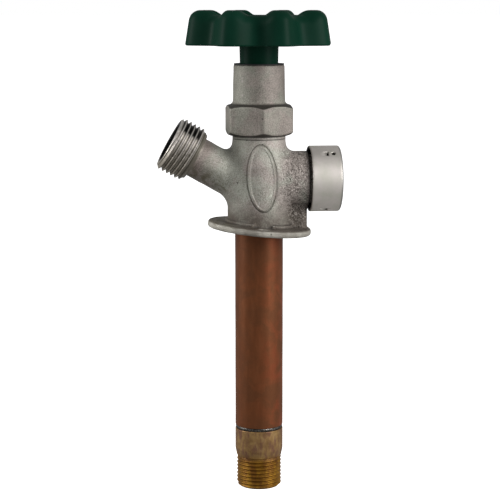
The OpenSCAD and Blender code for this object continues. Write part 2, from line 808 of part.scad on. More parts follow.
// Wave round the rim at an angle: 1 in the middle of a lobe, 0 in the middle of a valley
function lobe_wave(a) = 0.5 - 0.5 * cos(lobes * (a - handle_clock));

// Share of a lobe's height at an angle: 1 on its flat top, 0 in a valley, rounded in between
function lobe_height(a) =
    let (t = (lobe_wave(a) - lobe_rise) / (lobe_shoulder - lobe_rise), share = min(max(t, 0), 1))
    share * share * (3 - 2 * share);

// One section of the handle at an angle, as [radius, height] points round its closed outline
function handle_section(a) =
    let (wave = lobe_wave(a),
         base_r = handle_d / 2 - valley_depth * (1 - wave),
         top_z = handle_top_z - valley_drop * (1 - lobe_height(a)),
         slope = tan(handle_draft),
         edge_z = top_z - handle_edge_r,
         edge_r = base_r - (edge_z - rim_z) * slope - handle_edge_r,
         flat_r = edge_r - crown_flat,
         lip = handle_lip,
         bore_r = insert_r + seat_gap,
         floor_z = screw_washer_z,
         dish_z = floor_z + screw_washer_t,
         under_z = floor_z - web_thick,
         rib_z = under_z - rib_depth * pow(wave, 3),
         inner_r = base_r - rim_wall,
         recess_r = recess_d / 2)
    concat(
        [[bore_r, sleeve_z], [sleeve_end_d / 2 - lip, sleeve_z], [sleeve_end_d / 2, sleeve_z + lip],
         [sleeve_top_d / 2, rim_z], [sleeve_top_d / 2, under_z - rib_depth - lip],
         [sleeve_top_d / 2 + 2 * lip, rib_z], [inner_r - rim_fillet, rib_z],
         [inner_r - rim_fillet / 3, rib_z - rim_fillet / 3], [inner_r, rim_z], [base_r - lip, rim_z],
         [base_r, rim_z + lip]],
        [for (k = [0 : crown_steps])
            let (t = handle_draft + (90 - handle_draft) * k / crown_steps)
            [edge_r + handle_edge_r * cos(t), edge_z + handle_edge_r * sin(t)]],
        [for (k = [0 : crown_steps]) let (t = 90 * k / crown_steps)
            [flat_r - handle_edge_r * sin(t), edge_z + handle_edge_r * cos(t)]],
        [[flat_r - (handle_edge_r + dish_slope_w) / 2, (edge_z + dish_z) / 2],
         [flat_r - dish_slope_w, dish_z], [recess_r + lip, dish_z],
         [recess_r, dish_z - lip], [recess_r, floor_z], [bore_r, floor_z]]);

module handle_wheel() {
    sections = [for (i = [0 : handle_steps - 1]) let (a = 360 * i / handle_steps)
        [for (p = handle_section(a + 90)) [p[0] * cos(a), p[0] * sin(a), p[1]]]];
    color(green) polyhedron([for (section = sections, p = section) p],
        grid_faces(handle_steps, len(sections[0])));
}

module handle_insert() {
    color(brass) translate([0, 0, square_z]) difference() {
        cylinder(r = insert_r, h = insert_top_z - square_z);
        translate([0, 0, (insert_top_z - square_z) / 2])
            cube([square_af + 2 * seat_gap, square_af + 2 * seat_gap, 2 * square_len], center = true);
    }
}

module handle_screw() {
    color(steel) difference() {
        union() {
            translate([0, 0, screw_head_z]) cylinder(d1 = handle_screw_head_d,
                d2 = handle_screw_top_d, h = handle_screw_head_h);
            translate([0, 0, screw_head_z - handle_screw_len])
                cylinder(d = handle_screw_d, h = handle_screw_len + cut);
        }
        translate([-handle_screw_head_d, -slot_w / 2, screw_head_z + handle_screw_head_h - slot_d])
            cube([2 * handle_screw_head_d, slot_w, slot_d + cut]);
    }
}

module handle_screw_washer() {
    color(steel) translate([0, 0, screw_washer_z])
        ring(screw_washer_d / 2, handle_screw_d / 2 + seat_gap, screw_washer_t);
}

module stem() {
    relief_r = land_r - clear_gap;
    tapped_depth = handle_screw_len;
    color(brass) difference() {
        union() {
            rotate_extrude() polygon(concat(
                [[0, stem_end_z], [rod_socket_d / 2, stem_end_z], [rod_socket_d / 2, shoulder_z],
                 [shoulder_d / 2, shoulder_z], [shoulder_d / 2, thread_z],
                 [stem_thread_d / 2, thread_z], [stem_thread_d / 2, thread_top_z],
                 [relief_r, thread_top_z], [relief_r, land_z], [land_r, land_z]],
                [for (i = [0, 1], corner = [0 : 3])
                    [corner == 0 || corner == 3 ? land_r : groove_r,
                     oring_z + i * oring_pitch + (corner < 2 ? -0.5 : 0.5) * groove_w]],
                [[land_r, square_z], [0, square_z]]));
            translate([-square_af / 2, -square_af / 2, square_z - cut])
                cube([square_af, square_af, square_len + cut]);
        }
        translate([0, 0, stem_end_z - cut])
            cylinder(r = rod_d / 2 + seat_gap, h = rod_socket_depth + cut);
        translate([0, 0, screw_head_z - tapped_depth - clear_gap])
            cylinder(r = handle_screw_d / 2 + seat_gap, h = tapped_depth + lift);
    }
}

module stem_o_rings() {
    color(black) for (i = [0, 1]) translate([0, 0, oring_z + i * oring_pitch])
        o_ring(oring_r, oring_section);
}

module operating_rod() {
    color(brass) rotate_extrude() polygon([[0, button_z], [button_d / 2, button_z],
        [button_d / 2, button_top_z], [swivel_neck_d / 2, button_top_z], [swivel_neck_d / 2, rod_z],
        [rod_d / 2, rod_z], [rod_d / 2, rod_top_z], [0, rod_top_z]]);
}

module seat_holder() {
    lip_z = washer_top_z - holder_lip;
    wing_r = tube_bore_r - clear_gap;
    wing_h = holder_len - 2 * holder_lip;
    pocket_h = button_top_z + clear_gap - button_z;
    color(brass) difference() {
        union() {
            translate([0, 0, lip_z]) cylinder(d = holder_d, h = holder_top_z - lip_z);
            for (i = [0 : wing_count - 1]) rotate([0, 0, i * 360 / wing_count])
                intersection() {
                    translate([0, -wing_t / 2, washer_top_z]) cube([2 * wing_r, wing_t, wing_h]);
                    translate([0, 0, washer_top_z]) cylinder(r = wing_r, h = wing_h);
                }
        }
        translate([0, 0, lip_z - cut]) cylinder(r = washer_d / 2 + seat_gap, h = holder_lip + cut);
        translate([0, 0, washer_top_z - cut])
            cylinder(r = seat_screw_d / 2 + seat_gap, h = seat_screw_len + cut);
        translate([0, 0, button_z]) cylinder(r = button_d / 2 + running_gap, h = pocket_h);
        translate([0, 0, button_z])
            cylinder(r = swivel_neck_d / 2 + running_gap, h = holder_top_z - button_z + cut);
    }
}

module seat_washer() {
    color(black) translate([0, 0, seat_z])
        ring(washer_d / 2, seat_screw_d / 2 + seat_gap, washer_t);
}

module seat_washer_screw() {
    color(brass) translate([0, 0, seat_z - seat_screw_head_h]) {
        cylinder(d = seat_screw_head_d, h = seat_screw_head_h);
        cylinder(d = seat_screw_d, h = seat_screw_head_h + washer_t + seat_screw_len);
    }
}

body_casting();
copper_tube();
inlet_adapter();
flange_solder_ring();
inlet_solder_ring();
bonnet_nut();
bonnet_gasket();
wiper_washer();
vb_cap();
vb_retainer();
vb_o_ring();
handle_wheel();
handle_insert();
handle_screw();
handle_screw_washer();
stem();
stem_o_rings();
operating_rod();
seat_holder();
seat_washer();
seat_washer_screw();
vb_float();
vb_float_seal();
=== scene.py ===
"""Looks of a frost free sillcock, dressed on its solids.

Lengths are in millimetres in the solids' own frame and become metres when a mesh is made. +Z runs up
the tube to the handle, +X to the vacuum breaker, the spout leans to -X and -Y is the front.
"""
import json

import bpy
import numpy as np
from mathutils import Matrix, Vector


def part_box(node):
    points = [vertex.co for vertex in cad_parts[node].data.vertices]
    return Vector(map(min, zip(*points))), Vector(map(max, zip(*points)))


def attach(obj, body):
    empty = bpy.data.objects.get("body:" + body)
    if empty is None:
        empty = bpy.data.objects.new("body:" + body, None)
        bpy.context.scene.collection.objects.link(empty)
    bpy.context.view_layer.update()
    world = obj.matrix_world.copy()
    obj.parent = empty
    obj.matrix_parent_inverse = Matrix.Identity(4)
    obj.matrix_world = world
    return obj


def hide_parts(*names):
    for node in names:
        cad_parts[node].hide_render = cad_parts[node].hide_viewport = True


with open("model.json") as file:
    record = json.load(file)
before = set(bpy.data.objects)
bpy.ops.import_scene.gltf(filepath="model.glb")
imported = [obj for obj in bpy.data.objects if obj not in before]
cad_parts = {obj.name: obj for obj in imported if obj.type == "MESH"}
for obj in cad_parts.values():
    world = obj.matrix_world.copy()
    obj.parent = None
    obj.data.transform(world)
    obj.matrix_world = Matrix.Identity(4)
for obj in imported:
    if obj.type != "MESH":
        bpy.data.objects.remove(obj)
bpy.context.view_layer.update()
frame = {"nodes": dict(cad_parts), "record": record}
MM = 0.001
TURN = 2 * np.pi


def node_box(name):
    """Lowest and highest corner of a solid, in millimetres."""
    low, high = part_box(name)
    return np.array(low) / MM, np.array(high) / MM


# Sizes that the solids give
TUBE_LOW, TUBE_HIGH = node_box("copper_tube")
TUBE_R = TUBE_HIGH[0]
HEX_Z = node_box("bonnet_gasket")[1][2]
NUT_LOW, NUT_HIGH = node_box("bonnet_nut")
COLLAR_TOP = NUT_HIGH[2]
CAP_LOW, CAP_HIGH = node_box("vb_cap")
CAP_R = CAP_HIGH[1]
VB_Z = (CAP_LOW[2] + CAP_HIGH[2]) / 2
WIPER_LOW, WIPER_HIGH = node_box("wiper_washer")
HANDLE_LOW, HANDLE_HIGH = node_box("handle_wheel")
ADAPTER_LOW, ADAPTER_HIGH = node_box("inlet_adapter")
BEAD_LOW, BEAD_HIGH = node_box("inlet_solder_ring")
FLANGE_R = node_box("body_casting")[1][1]

# Casting
CASTING_STEP = 0.56
CAST_WAVE = 0.05
BORE_EDGE_R = 0.25
BODY_TOP = HEX_Z - 0.2
BODY_EDGE_R = 0.4
BARREL_R = 15.0
NECK_R = 12.6
CONE_Z = (32.1, 43.1)
CHAMBER_R = 9.3
SOCKET_R = TUBE_R + 0.05
SOCKET_TOP = TUBE_HIGH[2]
BONNET_BORE_R = 10.05
GASKET_RECESS_R = 11.45
BRANCH_FILLET = 4.2
PAD_Z = 26.2
PAD_LEAN = np.radians(3)
PAD_HALF_W = 6.8
PAD_HALF_H = 15.6
PAD_RECESS = 0.9
PAD_BACK = 1.2
FLANGE_T = 3.4
FLANGE_EDGE_R = 1.3
FLANGE_FILLET = 0.8
DRAIN_PITCH = np.radians(5.4)
FLANGE_UP = (np.sin(DRAIN_PITCH), 0, np.cos(DRAIN_PITCH))
FOOT_R = 16.6
FOOT_H = 1.2
FOOT_EDGE_R = 0.35
FOOT_FILLET = 0.5
FIXING_R = 19.8
FIXING_HOLE_R = 2.5
SPOT_FACE_R = 6.2
SPOT_FACE_DEPTH = 0.3
SPOT_FACE_EDGE_R = 0.15

# Spout
SPOUT_RISE = np.radians(29.5)
SPOUT_Z = 18.6
SPOUT_UP = (np.sin(SPOUT_RISE), 0, np.cos(SPOUT_RISE))
SPOUT_AXIS = SPOUT_Z * np.cos(SPOUT_RISE)
SPOUT_OUT = (-np.cos(SPOUT_RISE), 0, np.sin(SPOUT_RISE))
SPOUT_REACH = 48.8
SPOUT_NECK_R = 9.7
SPOUT_EDGE_R = 0.3
SPOUT_WAY_R = 7.2
HOSE_CREST_R = 13.45
HOSE_DEPTH = 1.35
HOSE_LEN = 12.4
HOSE_START = SPOUT_REACH - HOSE_LEN
HOSE_ROOT_R = HOSE_CREST_R - HOSE_DEPTH
HOSE_PITCH = 25.4 / 11.5
MOUTH_R = 9.6
MOUTH_DEPTH = 10.5

# Vacuum breaker
BOSS_R = 13.3
BOSS_REACH = 23.0
BOSS_EDGE_R = 0.8
BOSS_FILLET = 3.0
SPIGOT_R = 11.5
SPIGOT_END = 31.9
SPIGOT_EDGE_R = 0.3
FLOAT_CHAMBER_R = 9.0
FLOAT_FLOOR_X = 17.0
VB_WAY_R = 4.5
WEB_HALF_T = 5.5
WEB_EDGE_R = 2.8
WEB_FILLET = 1.5
CAP_STEP = 0.36
CAP_WALL = 1.1
CAP_EDGE_R = 1.15
CAP_MOUTH_R = 0.35
TABS = 3
TAB_ANGLE = 54
TAB_X = SPIGOT_END - 1.65
TAB_HALF_LEN = 0.8
TAB_HALF_W = 1.55
TAB_R = SPIGOT_R + 2.05
TAB_HALF_T = 1.75
LANCE_LEN = 3.4
LANCE_HALF_W = 1.4
LANCE_FALL = 0.16
LANCE_EDGE_R = 0.08
WINDOW_HALF_LEN = 0.35
WINDOW_SIDE = -0.4
WINDOW_HALF_W = 0.8
SLIT_X = SPIGOT_END - 1.2
SLIT_HALF_LEN = 2.2
SLIT_HALF_W = 0.3
WEEP_X = SPIGOT_END + 2.4
WEEP_R = 0.95
WEEP_EDGE_R = 0.06

# Bonnet
NUT_STEP = 0.42
NUT_WAVE = 0.04
HEX_HALF_AF = 15.1
HEX_CLOCK = 2
HEX_H = 14.4
HEX_TOP = HEX_Z + HEX_H
HEX_CORNER_R = 0.9
HEX_CHAMFER_R = 0.5
HEX_RIM_R = 0.4
HEX_FACE_R = 14.6
HEX_CHAMFER = np.radians(30)
COLLAR_R = 12.4
COLLAR_TOP_R = 12.05
COLLAR_EDGE_R = 0.8
COLLAR_FILLET = 2.0
WELL_R = 9.55
WELL_DEPTH = 11.7
LEAD_DEPTH = 19.5
LEAD_BORE_R = 6.3
LAND_BORE_R = 5.2
BONNET_THREAD_R = 10.0
BONNET_THREAD_EDGE_R = 1.0
BONNET_BORE_EDGE_R = 0.2
WIPER_THINNER = 0.35

# Tube and inlet adapter
TUBE_WALL = 1.14
TUBE_DENT = 0.03
PIPE_CREST_R = 10.7
PIPE_LEN = 14.8
PIPE_Z = ADAPTER_LOW[2] + PIPE_LEN
HUB_TAPER = 4.0
PIPE_PITCH = 25.4 / 14
PIPE_DEPTH = 0.75
PIPE_CHAMFER = 1.2
UNDERCUT = 0.55
CUP_R = 7.98
CUP_DEPTH = 12.7
ADAPTER_WAY_R = 6.3
ADAPTER_SPIGOT_R = TUBE_R - 1.19
ORIFICE_R = 4.8

# Handle
HANDLE_R = 36.0
VALLEY_DEPTH = 6.2
LOBE_SHOULDER = (0.3, 0.95)
LOBES = 8
HANDLE_CLOCK = np.radians(-9)
VALLEY_DROP = 2.3
HANDLE_DRAFT = np.radians(9)
CROWN_R = 5.6
CROWN_FLAT = 2.0
CROWN_INNER_R = 3.4
CROWN_LOWER = 0.4
DISH_SLOPE = 9.0
RIM_Z = HANDLE_HIGH[2] - 16.7


def smooth_step(value, start, end):
    """Rises from 0 at start to 1 at end along a cubic with level ends."""
    share = np.clip((value - start) / (end - start), 0, 1)
    return share * share * (3 - 2 * share)


def join(a, b, r):
    """Union of two fields, negative inside, with a fillet of radius r in the corner between them."""
    return np.maximum(r, np.minimum(a, b)) - np.hypot(np.maximum(r - a, 0), np.maximum(r - b, 0))


def common(a, b, r):
    """What two fields share, with the edge between them rounded to radius r."""
    return -join(-a, -b, r)


def carve(a, b, r):
    """Field a with b cut out of it, and the edge of the cut rounded to radius r."""
    return common(a, -b, r)


# Meshes
def put_mesh(name, points, faces):
    """Object at the origin from points in millimetres and faces of four corners, turned to face outwards."""
    corners = points[faces]
    across = np.cross(corners[:, 2] - corners[:, 0], corners[:, 3] - corners[:, 1])
    if np.einsum("ij,ij->", corners.mean(axis=1), across) < 0:
        faces = faces[:, ::-1]
    mesh = bpy.data.meshes.new(name)
    mesh.vertices.add(len(points))
    mesh.vertices.foreach_set("co", (points * MM).astype(np.float32).ravel())
    mesh.loops.add(faces.size)
    mesh.loops.foreach_set("vertex_index", faces.astype(np.int32).ravel())
    mesh.polygons.add(len(faces))
    mesh.polygons.foreach_set("loop_start", np.arange(0, faces.size, 4, dtype=np.int32))
    mesh.update(calc_edges=True)
    mesh.validate()
    mesh.shade_smooth()
    piece = bpy.data.objects.new(name, mesh)
    bpy.context.scene.collection.objects.link(piece)
    return piece


def grid_mesh(name, grid, wrap=(True, True)):
    """Skin over a grid of points (rows, columns, 3), closed on itself in each direction that wrap names."""
    rows, columns = grid.shape[:2]
    index = np.arange(rows * columns).reshape(rows, columns)
    index = np.concatenate([index, index[:1]]) if wrap[0] else index
    index = np.concatenate([index, index[:, :1]], axis=1) if wrap[1] else index
    faces = np.stack([index[:-1, :-1], index[1:, :-1], index[1:, 1:], index[:-1, 1:]], axis=-1)
    return put_mesh(name, grid.reshape(-1, 3), faces.reshape(-1, 4))


def field_mesh(name, field, low, high, step):
    """Skin of a solid given by a field. Each cell of a grid that the surface crosses gets one point, in the
    middle of where the surface cuts the cell's edges, which slides down the field's slope onto the surface.
    Each grid edge that crosses the surface gets a face."""
    ticks = [np.arange(a, b + step, step) for a, b in zip(low, high)]
    lattice = np.stack(np.meshgrid(*ticks, indexing="ij"), axis=-1)
    value = field(lattice)
    inside = value < 0
    count = sum(inside[i:i - 1 or None, j:j - 1 or None, k:k - 1 or None].astype(np.int8)
                for i in (0, 1) for j in (0, 1) for k in (0, 1))
    crossed = (count > 0) & (count < 8)
    index = np.full(crossed.shape, -1)
    index[crossed] = np.arange(crossed.sum())
    cell = np.argwhere(crossed)
    corner = np.array([(i, j, k) for i in (0, 1) for j in (0, 1) for k in (0, 1)])
    height = value[tuple(np.moveaxis(cell[:, None] + corner, -1, 0))]
    ends = [(a, b) for a in range(8) for b in range(a) if np.abs(corner[a] - corner[b]).sum() == 1]
    a, b = np.array(ends).T
    cut = (height[:, a] < 0) != (height[:, b] < 0)
    share = height[:, a] / np.where(cut, height[:, a] - height[:, b], 1)
    place = (corner[a] + share[..., None] * (corner[b] - corner[a])) * cut[..., None]
    centre = np.array(low) + (cell + place.sum(axis=1) / cut.sum(axis=1)[:, None]) * step
    points = centre.copy()
    for _ in range(6):
        value = field(points)
        nudge = 0.02 * step
        slope = np.stack([field(points + nudge * e) - field(points - nudge * e)
                          for e in np.eye(3)], axis=-1) / (2 * nudge)
        move = (value / np.maximum((slope ** 2).sum(-1), 0.05))[:, None] * slope
        points = centre + np.clip(points - move - centre, -0.4 * step, 0.4 * step)
    faces = []
    for axis in range(3):
        b, c = (axis + 1) % 3, (axis + 2) % 3
        first = np.moveaxis(inside, axis, 0)[:-1]
        change = np.moveaxis(first != np.moveaxis(inside, axis, 0)[1:], 0, axis)
        cell = np.argwhere(change)
        step_b, step_c = np.eye(3, dtype=int)[b], np.eye(3, dtype=int)[c]
        ring = np.stack([cell, cell - step_b, cell - step_b - step_c, cell - step_c], axis=1)
        quad = index[ring[..., 0], ring[..., 1], ring[..., 2]]
        leaving = inside[cell[:, 0], cell[:, 1], cell[:, 2]]
        faces.append(np.where(leaving[:, None], quad, quad[:, ::-1]))
    return put_mesh(name, points, np.concatenate(faces))


def rounded_profile(corners, r, steps=5):
    """Closed outline through [radius, height] corners, each rounded by a curve that starts r away from it
    (or less on a short side) and bends through the corner's own triangle."""
    corners = np.array(corners, float)
    before, after = np.roll(corners, 1, axis=0), np.roll(corners, -1, axis=0)
    reach_in = np.minimum(r, np.linalg.norm(before - corners, axis=1) * 0.45)[:, None]
    reach_out = np.minimum(r, np.linalg.norm(after - corners, axis=1) * 0.45)[:, None]
    start = corners + (before - corners) / np.linalg.norm(before - corners, axis=1)[:, None] * reach_in
    end = corners + (after - corners) / np.linalg.norm(after - corners, axis=1)[:, None] * reach_out
    t = np.linspace(0, 1, steps)[None, :, None]
    curve = (1 - t) ** 2 * start[:, None] + 2 * t * (1 - t) * corners[:, None] + t ** 2 * end[:, None]
    return curve.reshape(-1, 2)


def split_long(profile, longest):
    """The same closed outline with points added so that no side is longer than longest."""
    after = np.roll(profile, -1, axis=0)
    count = np.maximum(1, np.ceil(np.linalg.norm(after - profile, axis=1) / longest).astype(int))
    side = np.repeat(np.arange(len(profile)), count)
    first = np.repeat(np.cumsum(count) - count, count)
    share = ((np.arange(len(side)) - first) / count[side])[:, None]
    return profile[side] * (1 - share) + after[side] * share


def turned(radius, height, turns, axis="tube"):
    """Grid of points at a radius and height, given per row or per row and column, round the tube's axis
    or round the spout's, where height is the distance along the spout."""
    radius, height = np.broadcast_arrays(radius, height, subok=False)
    radius, height = [np.broadcast_to(v.reshape(len(v), -1), (len(v), len(turns))) for v in (radius, height)]
    if axis == "tube":
        return np.stack([radius * np.cos(turns), radius * np.sin(turns), height], axis=-1)
    rise_cos, rise_sin = np.cos(SPOUT_RISE), np.sin(SPOUT_RISE)
    lift = radius * np.cos(turns)
    return np.stack([lift * rise_sin - height * rise_cos, radius * np.sin(turns),
                     SPOUT_Z + height * rise_sin + lift * rise_cos], axis=-1)


def around(steps):
    """Evenly spaced angles of one whole turn."""
    return np.arange(steps) * TURN / steps


def mark(piece, name, values):
    """Stores one value for each point of a grid piece, for its finish to read."""
    attribute = piece.data.attributes.new(name, "FLOAT", "POINT")
    attribute.data.foreach_set("value", values.astype(np.float32).ravel())


def dress(piece, body, slot, finish, *nodes):
    """Gives a piece its finish and its body and hides the solids that it stands for. The slot is not used."""
    piece.data.materials.clear()
    piece.data.materials.append(finish)
    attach(piece, body)
    if nodes:
        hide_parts(*nodes)
    return piece


# Finishes
AXES = {"X": (1, 0, 0), "Y": (0, 1, 0), "Z": (0, 0, 1)}


class Finish:
    """A procedural finish on object coordinates, in metres, built round one Principled shader."""

    def __init__(self, name, metallic, roughness, colour):
        self.material = bpy.data.materials.new(name)
        self.material.use_nodes = True
        self.tree = self.material.node_tree
        self.shader = self.tree.nodes["Principled BSDF"]
        self.coordinates = self.tree.nodes.new("ShaderNodeTexCoord").outputs["Object"]
        self.shader.inputs["Metallic"].default_value = metallic
        self.shader.inputs["Roughness"].default_value = roughness
        self.shader.inputs["Base Color"].default_value = (*colour, 1)

    def put(self, socket, value):
        """Links an output to a socket, or sets a constant on it."""
        if isinstance(value, bpy.types.NodeSocket):
            self.tree.links.new(value, socket)
        else:
            socket.default_value = value

    def node(self, kind, **inputs):
        """A node with constants or links on its named sockets."""
        node = self.tree.nodes.new(kind)
        for name, value in inputs.items():
            self.put(node.inputs[name.replace("_", " ")], value)
        return node

    def noise(self, grain, detail=4.0, roughness=0.55, stretch=(1, 1, 1), distortion=0.0):
        """Noise whose grains are about grain millimetres across, stretched along the axes."""
        place = self.node("ShaderNodeMapping", Vector=self.coordinates)
        place.inputs["Scale"].default_value = [1 / s for s in stretch]
        return self.node("ShaderNodeTexNoise", Vector=place.outputs[0], Scale=1 / (grain * MM), Detail=detail,
                         Roughness=roughness, Distortion=distortion).outputs["Fac"]

    def pits(self, grain):
        """Distance to scattered points about grain millimetres apart, for pits and grains of sand."""
        return self.node("ShaderNodeTexVoronoi", Vector=self.coordinates,
                         Scale=1 / (grain * MM)).outputs["Distance"]

    def ramp(self, value, *stops):
        """Maps a value to colours or greys given as (place, colour)."""
        node = self.node("ShaderNodeValToRGB", Fac=value)
        elements = node.color_ramp.elements
        while len(elements) < len(stops):
            elements.new(0.5)
        for element, (place, colour) in zip(elements, stops):
            element.position = place
            element.color = (*np.broadcast_to(colour, 3), 1)
        return node.outputs["Color"]

    def math(self, operation, a, b):
        """Sum, product or other operation of two values."""
        node = self.tree.nodes.new("ShaderNodeMath")
        node.operation = operation
        self.put(node.inputs[0], a)
        self.put(node.inputs[1], b)
        return node.outputs[0]

    def blend(self, share, a, b, kind="MIX"):
        """Mixes colour b over colour a by a share."""
        node = self.tree.nodes.new("ShaderNodeMix")
        node.data_type = "RGBA"
        node.blend_type = kind
        sockets = {socket.identifier: socket for socket in node.inputs}
        self.put(sockets["Factor_Float"], share)
        for name, value in (("A_Color", a), ("B_Color", b)):
            plain = not isinstance(value, bpy.types.NodeSocket)
            self.put(sockets[name], (*np.broadcast_to(value, 3), 1) if plain else value)
        return next(socket for socket in node.outputs if socket.identifier == "Result_Color")

    def tint(self, tone, colour):
        """A tone times a colour."""
        return self.blend(1.0, tone, colour, "MULTIPLY")

    def share(self, value, start, end):
        """Share that rises from 0 at start to 1 at end."""
        return self.node("ShaderNodeMapRange", Value=value, From_Min=start, From_Max=end).outputs["Result"]

    def dot(self, vector, direction):
        """Length of a vector along a direction, which is X, Y, Z or three numbers."""
        node = self.tree.nodes.new("ShaderNodeVectorMath")
        node.operation = "DOT_PRODUCT"
        self.tree.links.new(vector, node.inputs[0])
        node.inputs[1].default_value = AXES.get(direction, direction)
        return node.outputs["Value"]

    def along(self, direction, start, end):
        """Share that rises from 0 to 1 between two places, in millimetres, along a direction."""
        return self.share(self.dot(self.coordinates, direction), start * MM, end * MM)

    def facing(self, direction, start, end):
        """Share that rises with how far the surface faces a direction, from -1 to 1."""
        normal = self.tree.nodes.new("ShaderNodeNewGeometry").outputs["Normal"]
        return self.share(self.dot(normal, direction), start, end)

    def band(self, direction, middle, half):
        """Share that is 1 at a place, in millimetres, along a direction and falls to 0 half a width away."""
        rise = self.along(direction, middle - half, middle)
        return self.times(rise, self.along(direction, middle + half, middle))

    def off_axis(self, centre, spread, start, end):
        """Share that rises with the distance, in millimetres, from an axis through centre, where spread is 0
        along the axis and 1 across it."""
        place = self.node("ShaderNodeMapping", Vector=self.coordinates)
        place.inputs["Location"].default_value = [-c * k * MM for c, k in zip(centre, spread)]
        place.inputs["Scale"].default_value = spread
        node = self.tree.nodes.new("ShaderNodeVectorMath")
        node.operation = "LENGTH"
        self.tree.links.new(place.outputs[0], node.inputs[0])
        return self.share(node.outputs["Value"], start * MM, end * MM)

    def marked(self, name):
        """The value that mark stored for each point."""
        node = self.tree.nodes.new("ShaderNodeAttribute")
        node.attribute_name = name
        return node.outputs["Fac"]

    def times(self, *values):
        """Product of values."""
        product = values[0]
        for value in values[1:]:
            product = self.math("MULTIPLY", product, value)
        return product

    def corner_shade(self, reach, deep, flat):
        """Share that rises in corners that other metal closes in within reach millimetres, for painted shade.
        """
        node = self.tree.nodes.new("ShaderNodeAmbientOcclusion")
        node.samples = 8
        node.inputs["Distance"].default_value = reach * MM
        return self.share(node.outputs["AO"], flat, deep)

    def edges(self, low, high):
        """Share that rises from hollows to edges, for wear."""
        node = self.tree.nodes.new("ShaderNodeNewGeometry")
        return self.ramp(node.outputs["Pointiness"], (low, 0), (high, 1))

    def hollows(self, deep, flat):
        """Share that rises from flat metal to hollows, for painted shade."""
        node = self.tree.nodes.new("ShaderNodeNewGeometry")
        return self.ramp(node.outputs["Pointiness"], (deep, 1), (flat, 0))

    def colour(self, value):
        """Gives the shader its colour."""
        self.tree.links.new(value, self.shader.inputs["Base Color"])

    def roughness(self, value):
        """Gives the shader its roughness."""
        self.tree.links.new(value, self.shader.inputs["Roughness"])

    def bump(self, height, depth):
        """Bump of a height from 0 to 1, depth millimetres high."""
        node = self.node("ShaderNodeBump", Height=height, Distance=depth * MM, Strength=1.0)
        self.tree.links.new(node.outputs[0], self.shader.inputs["Normal"])


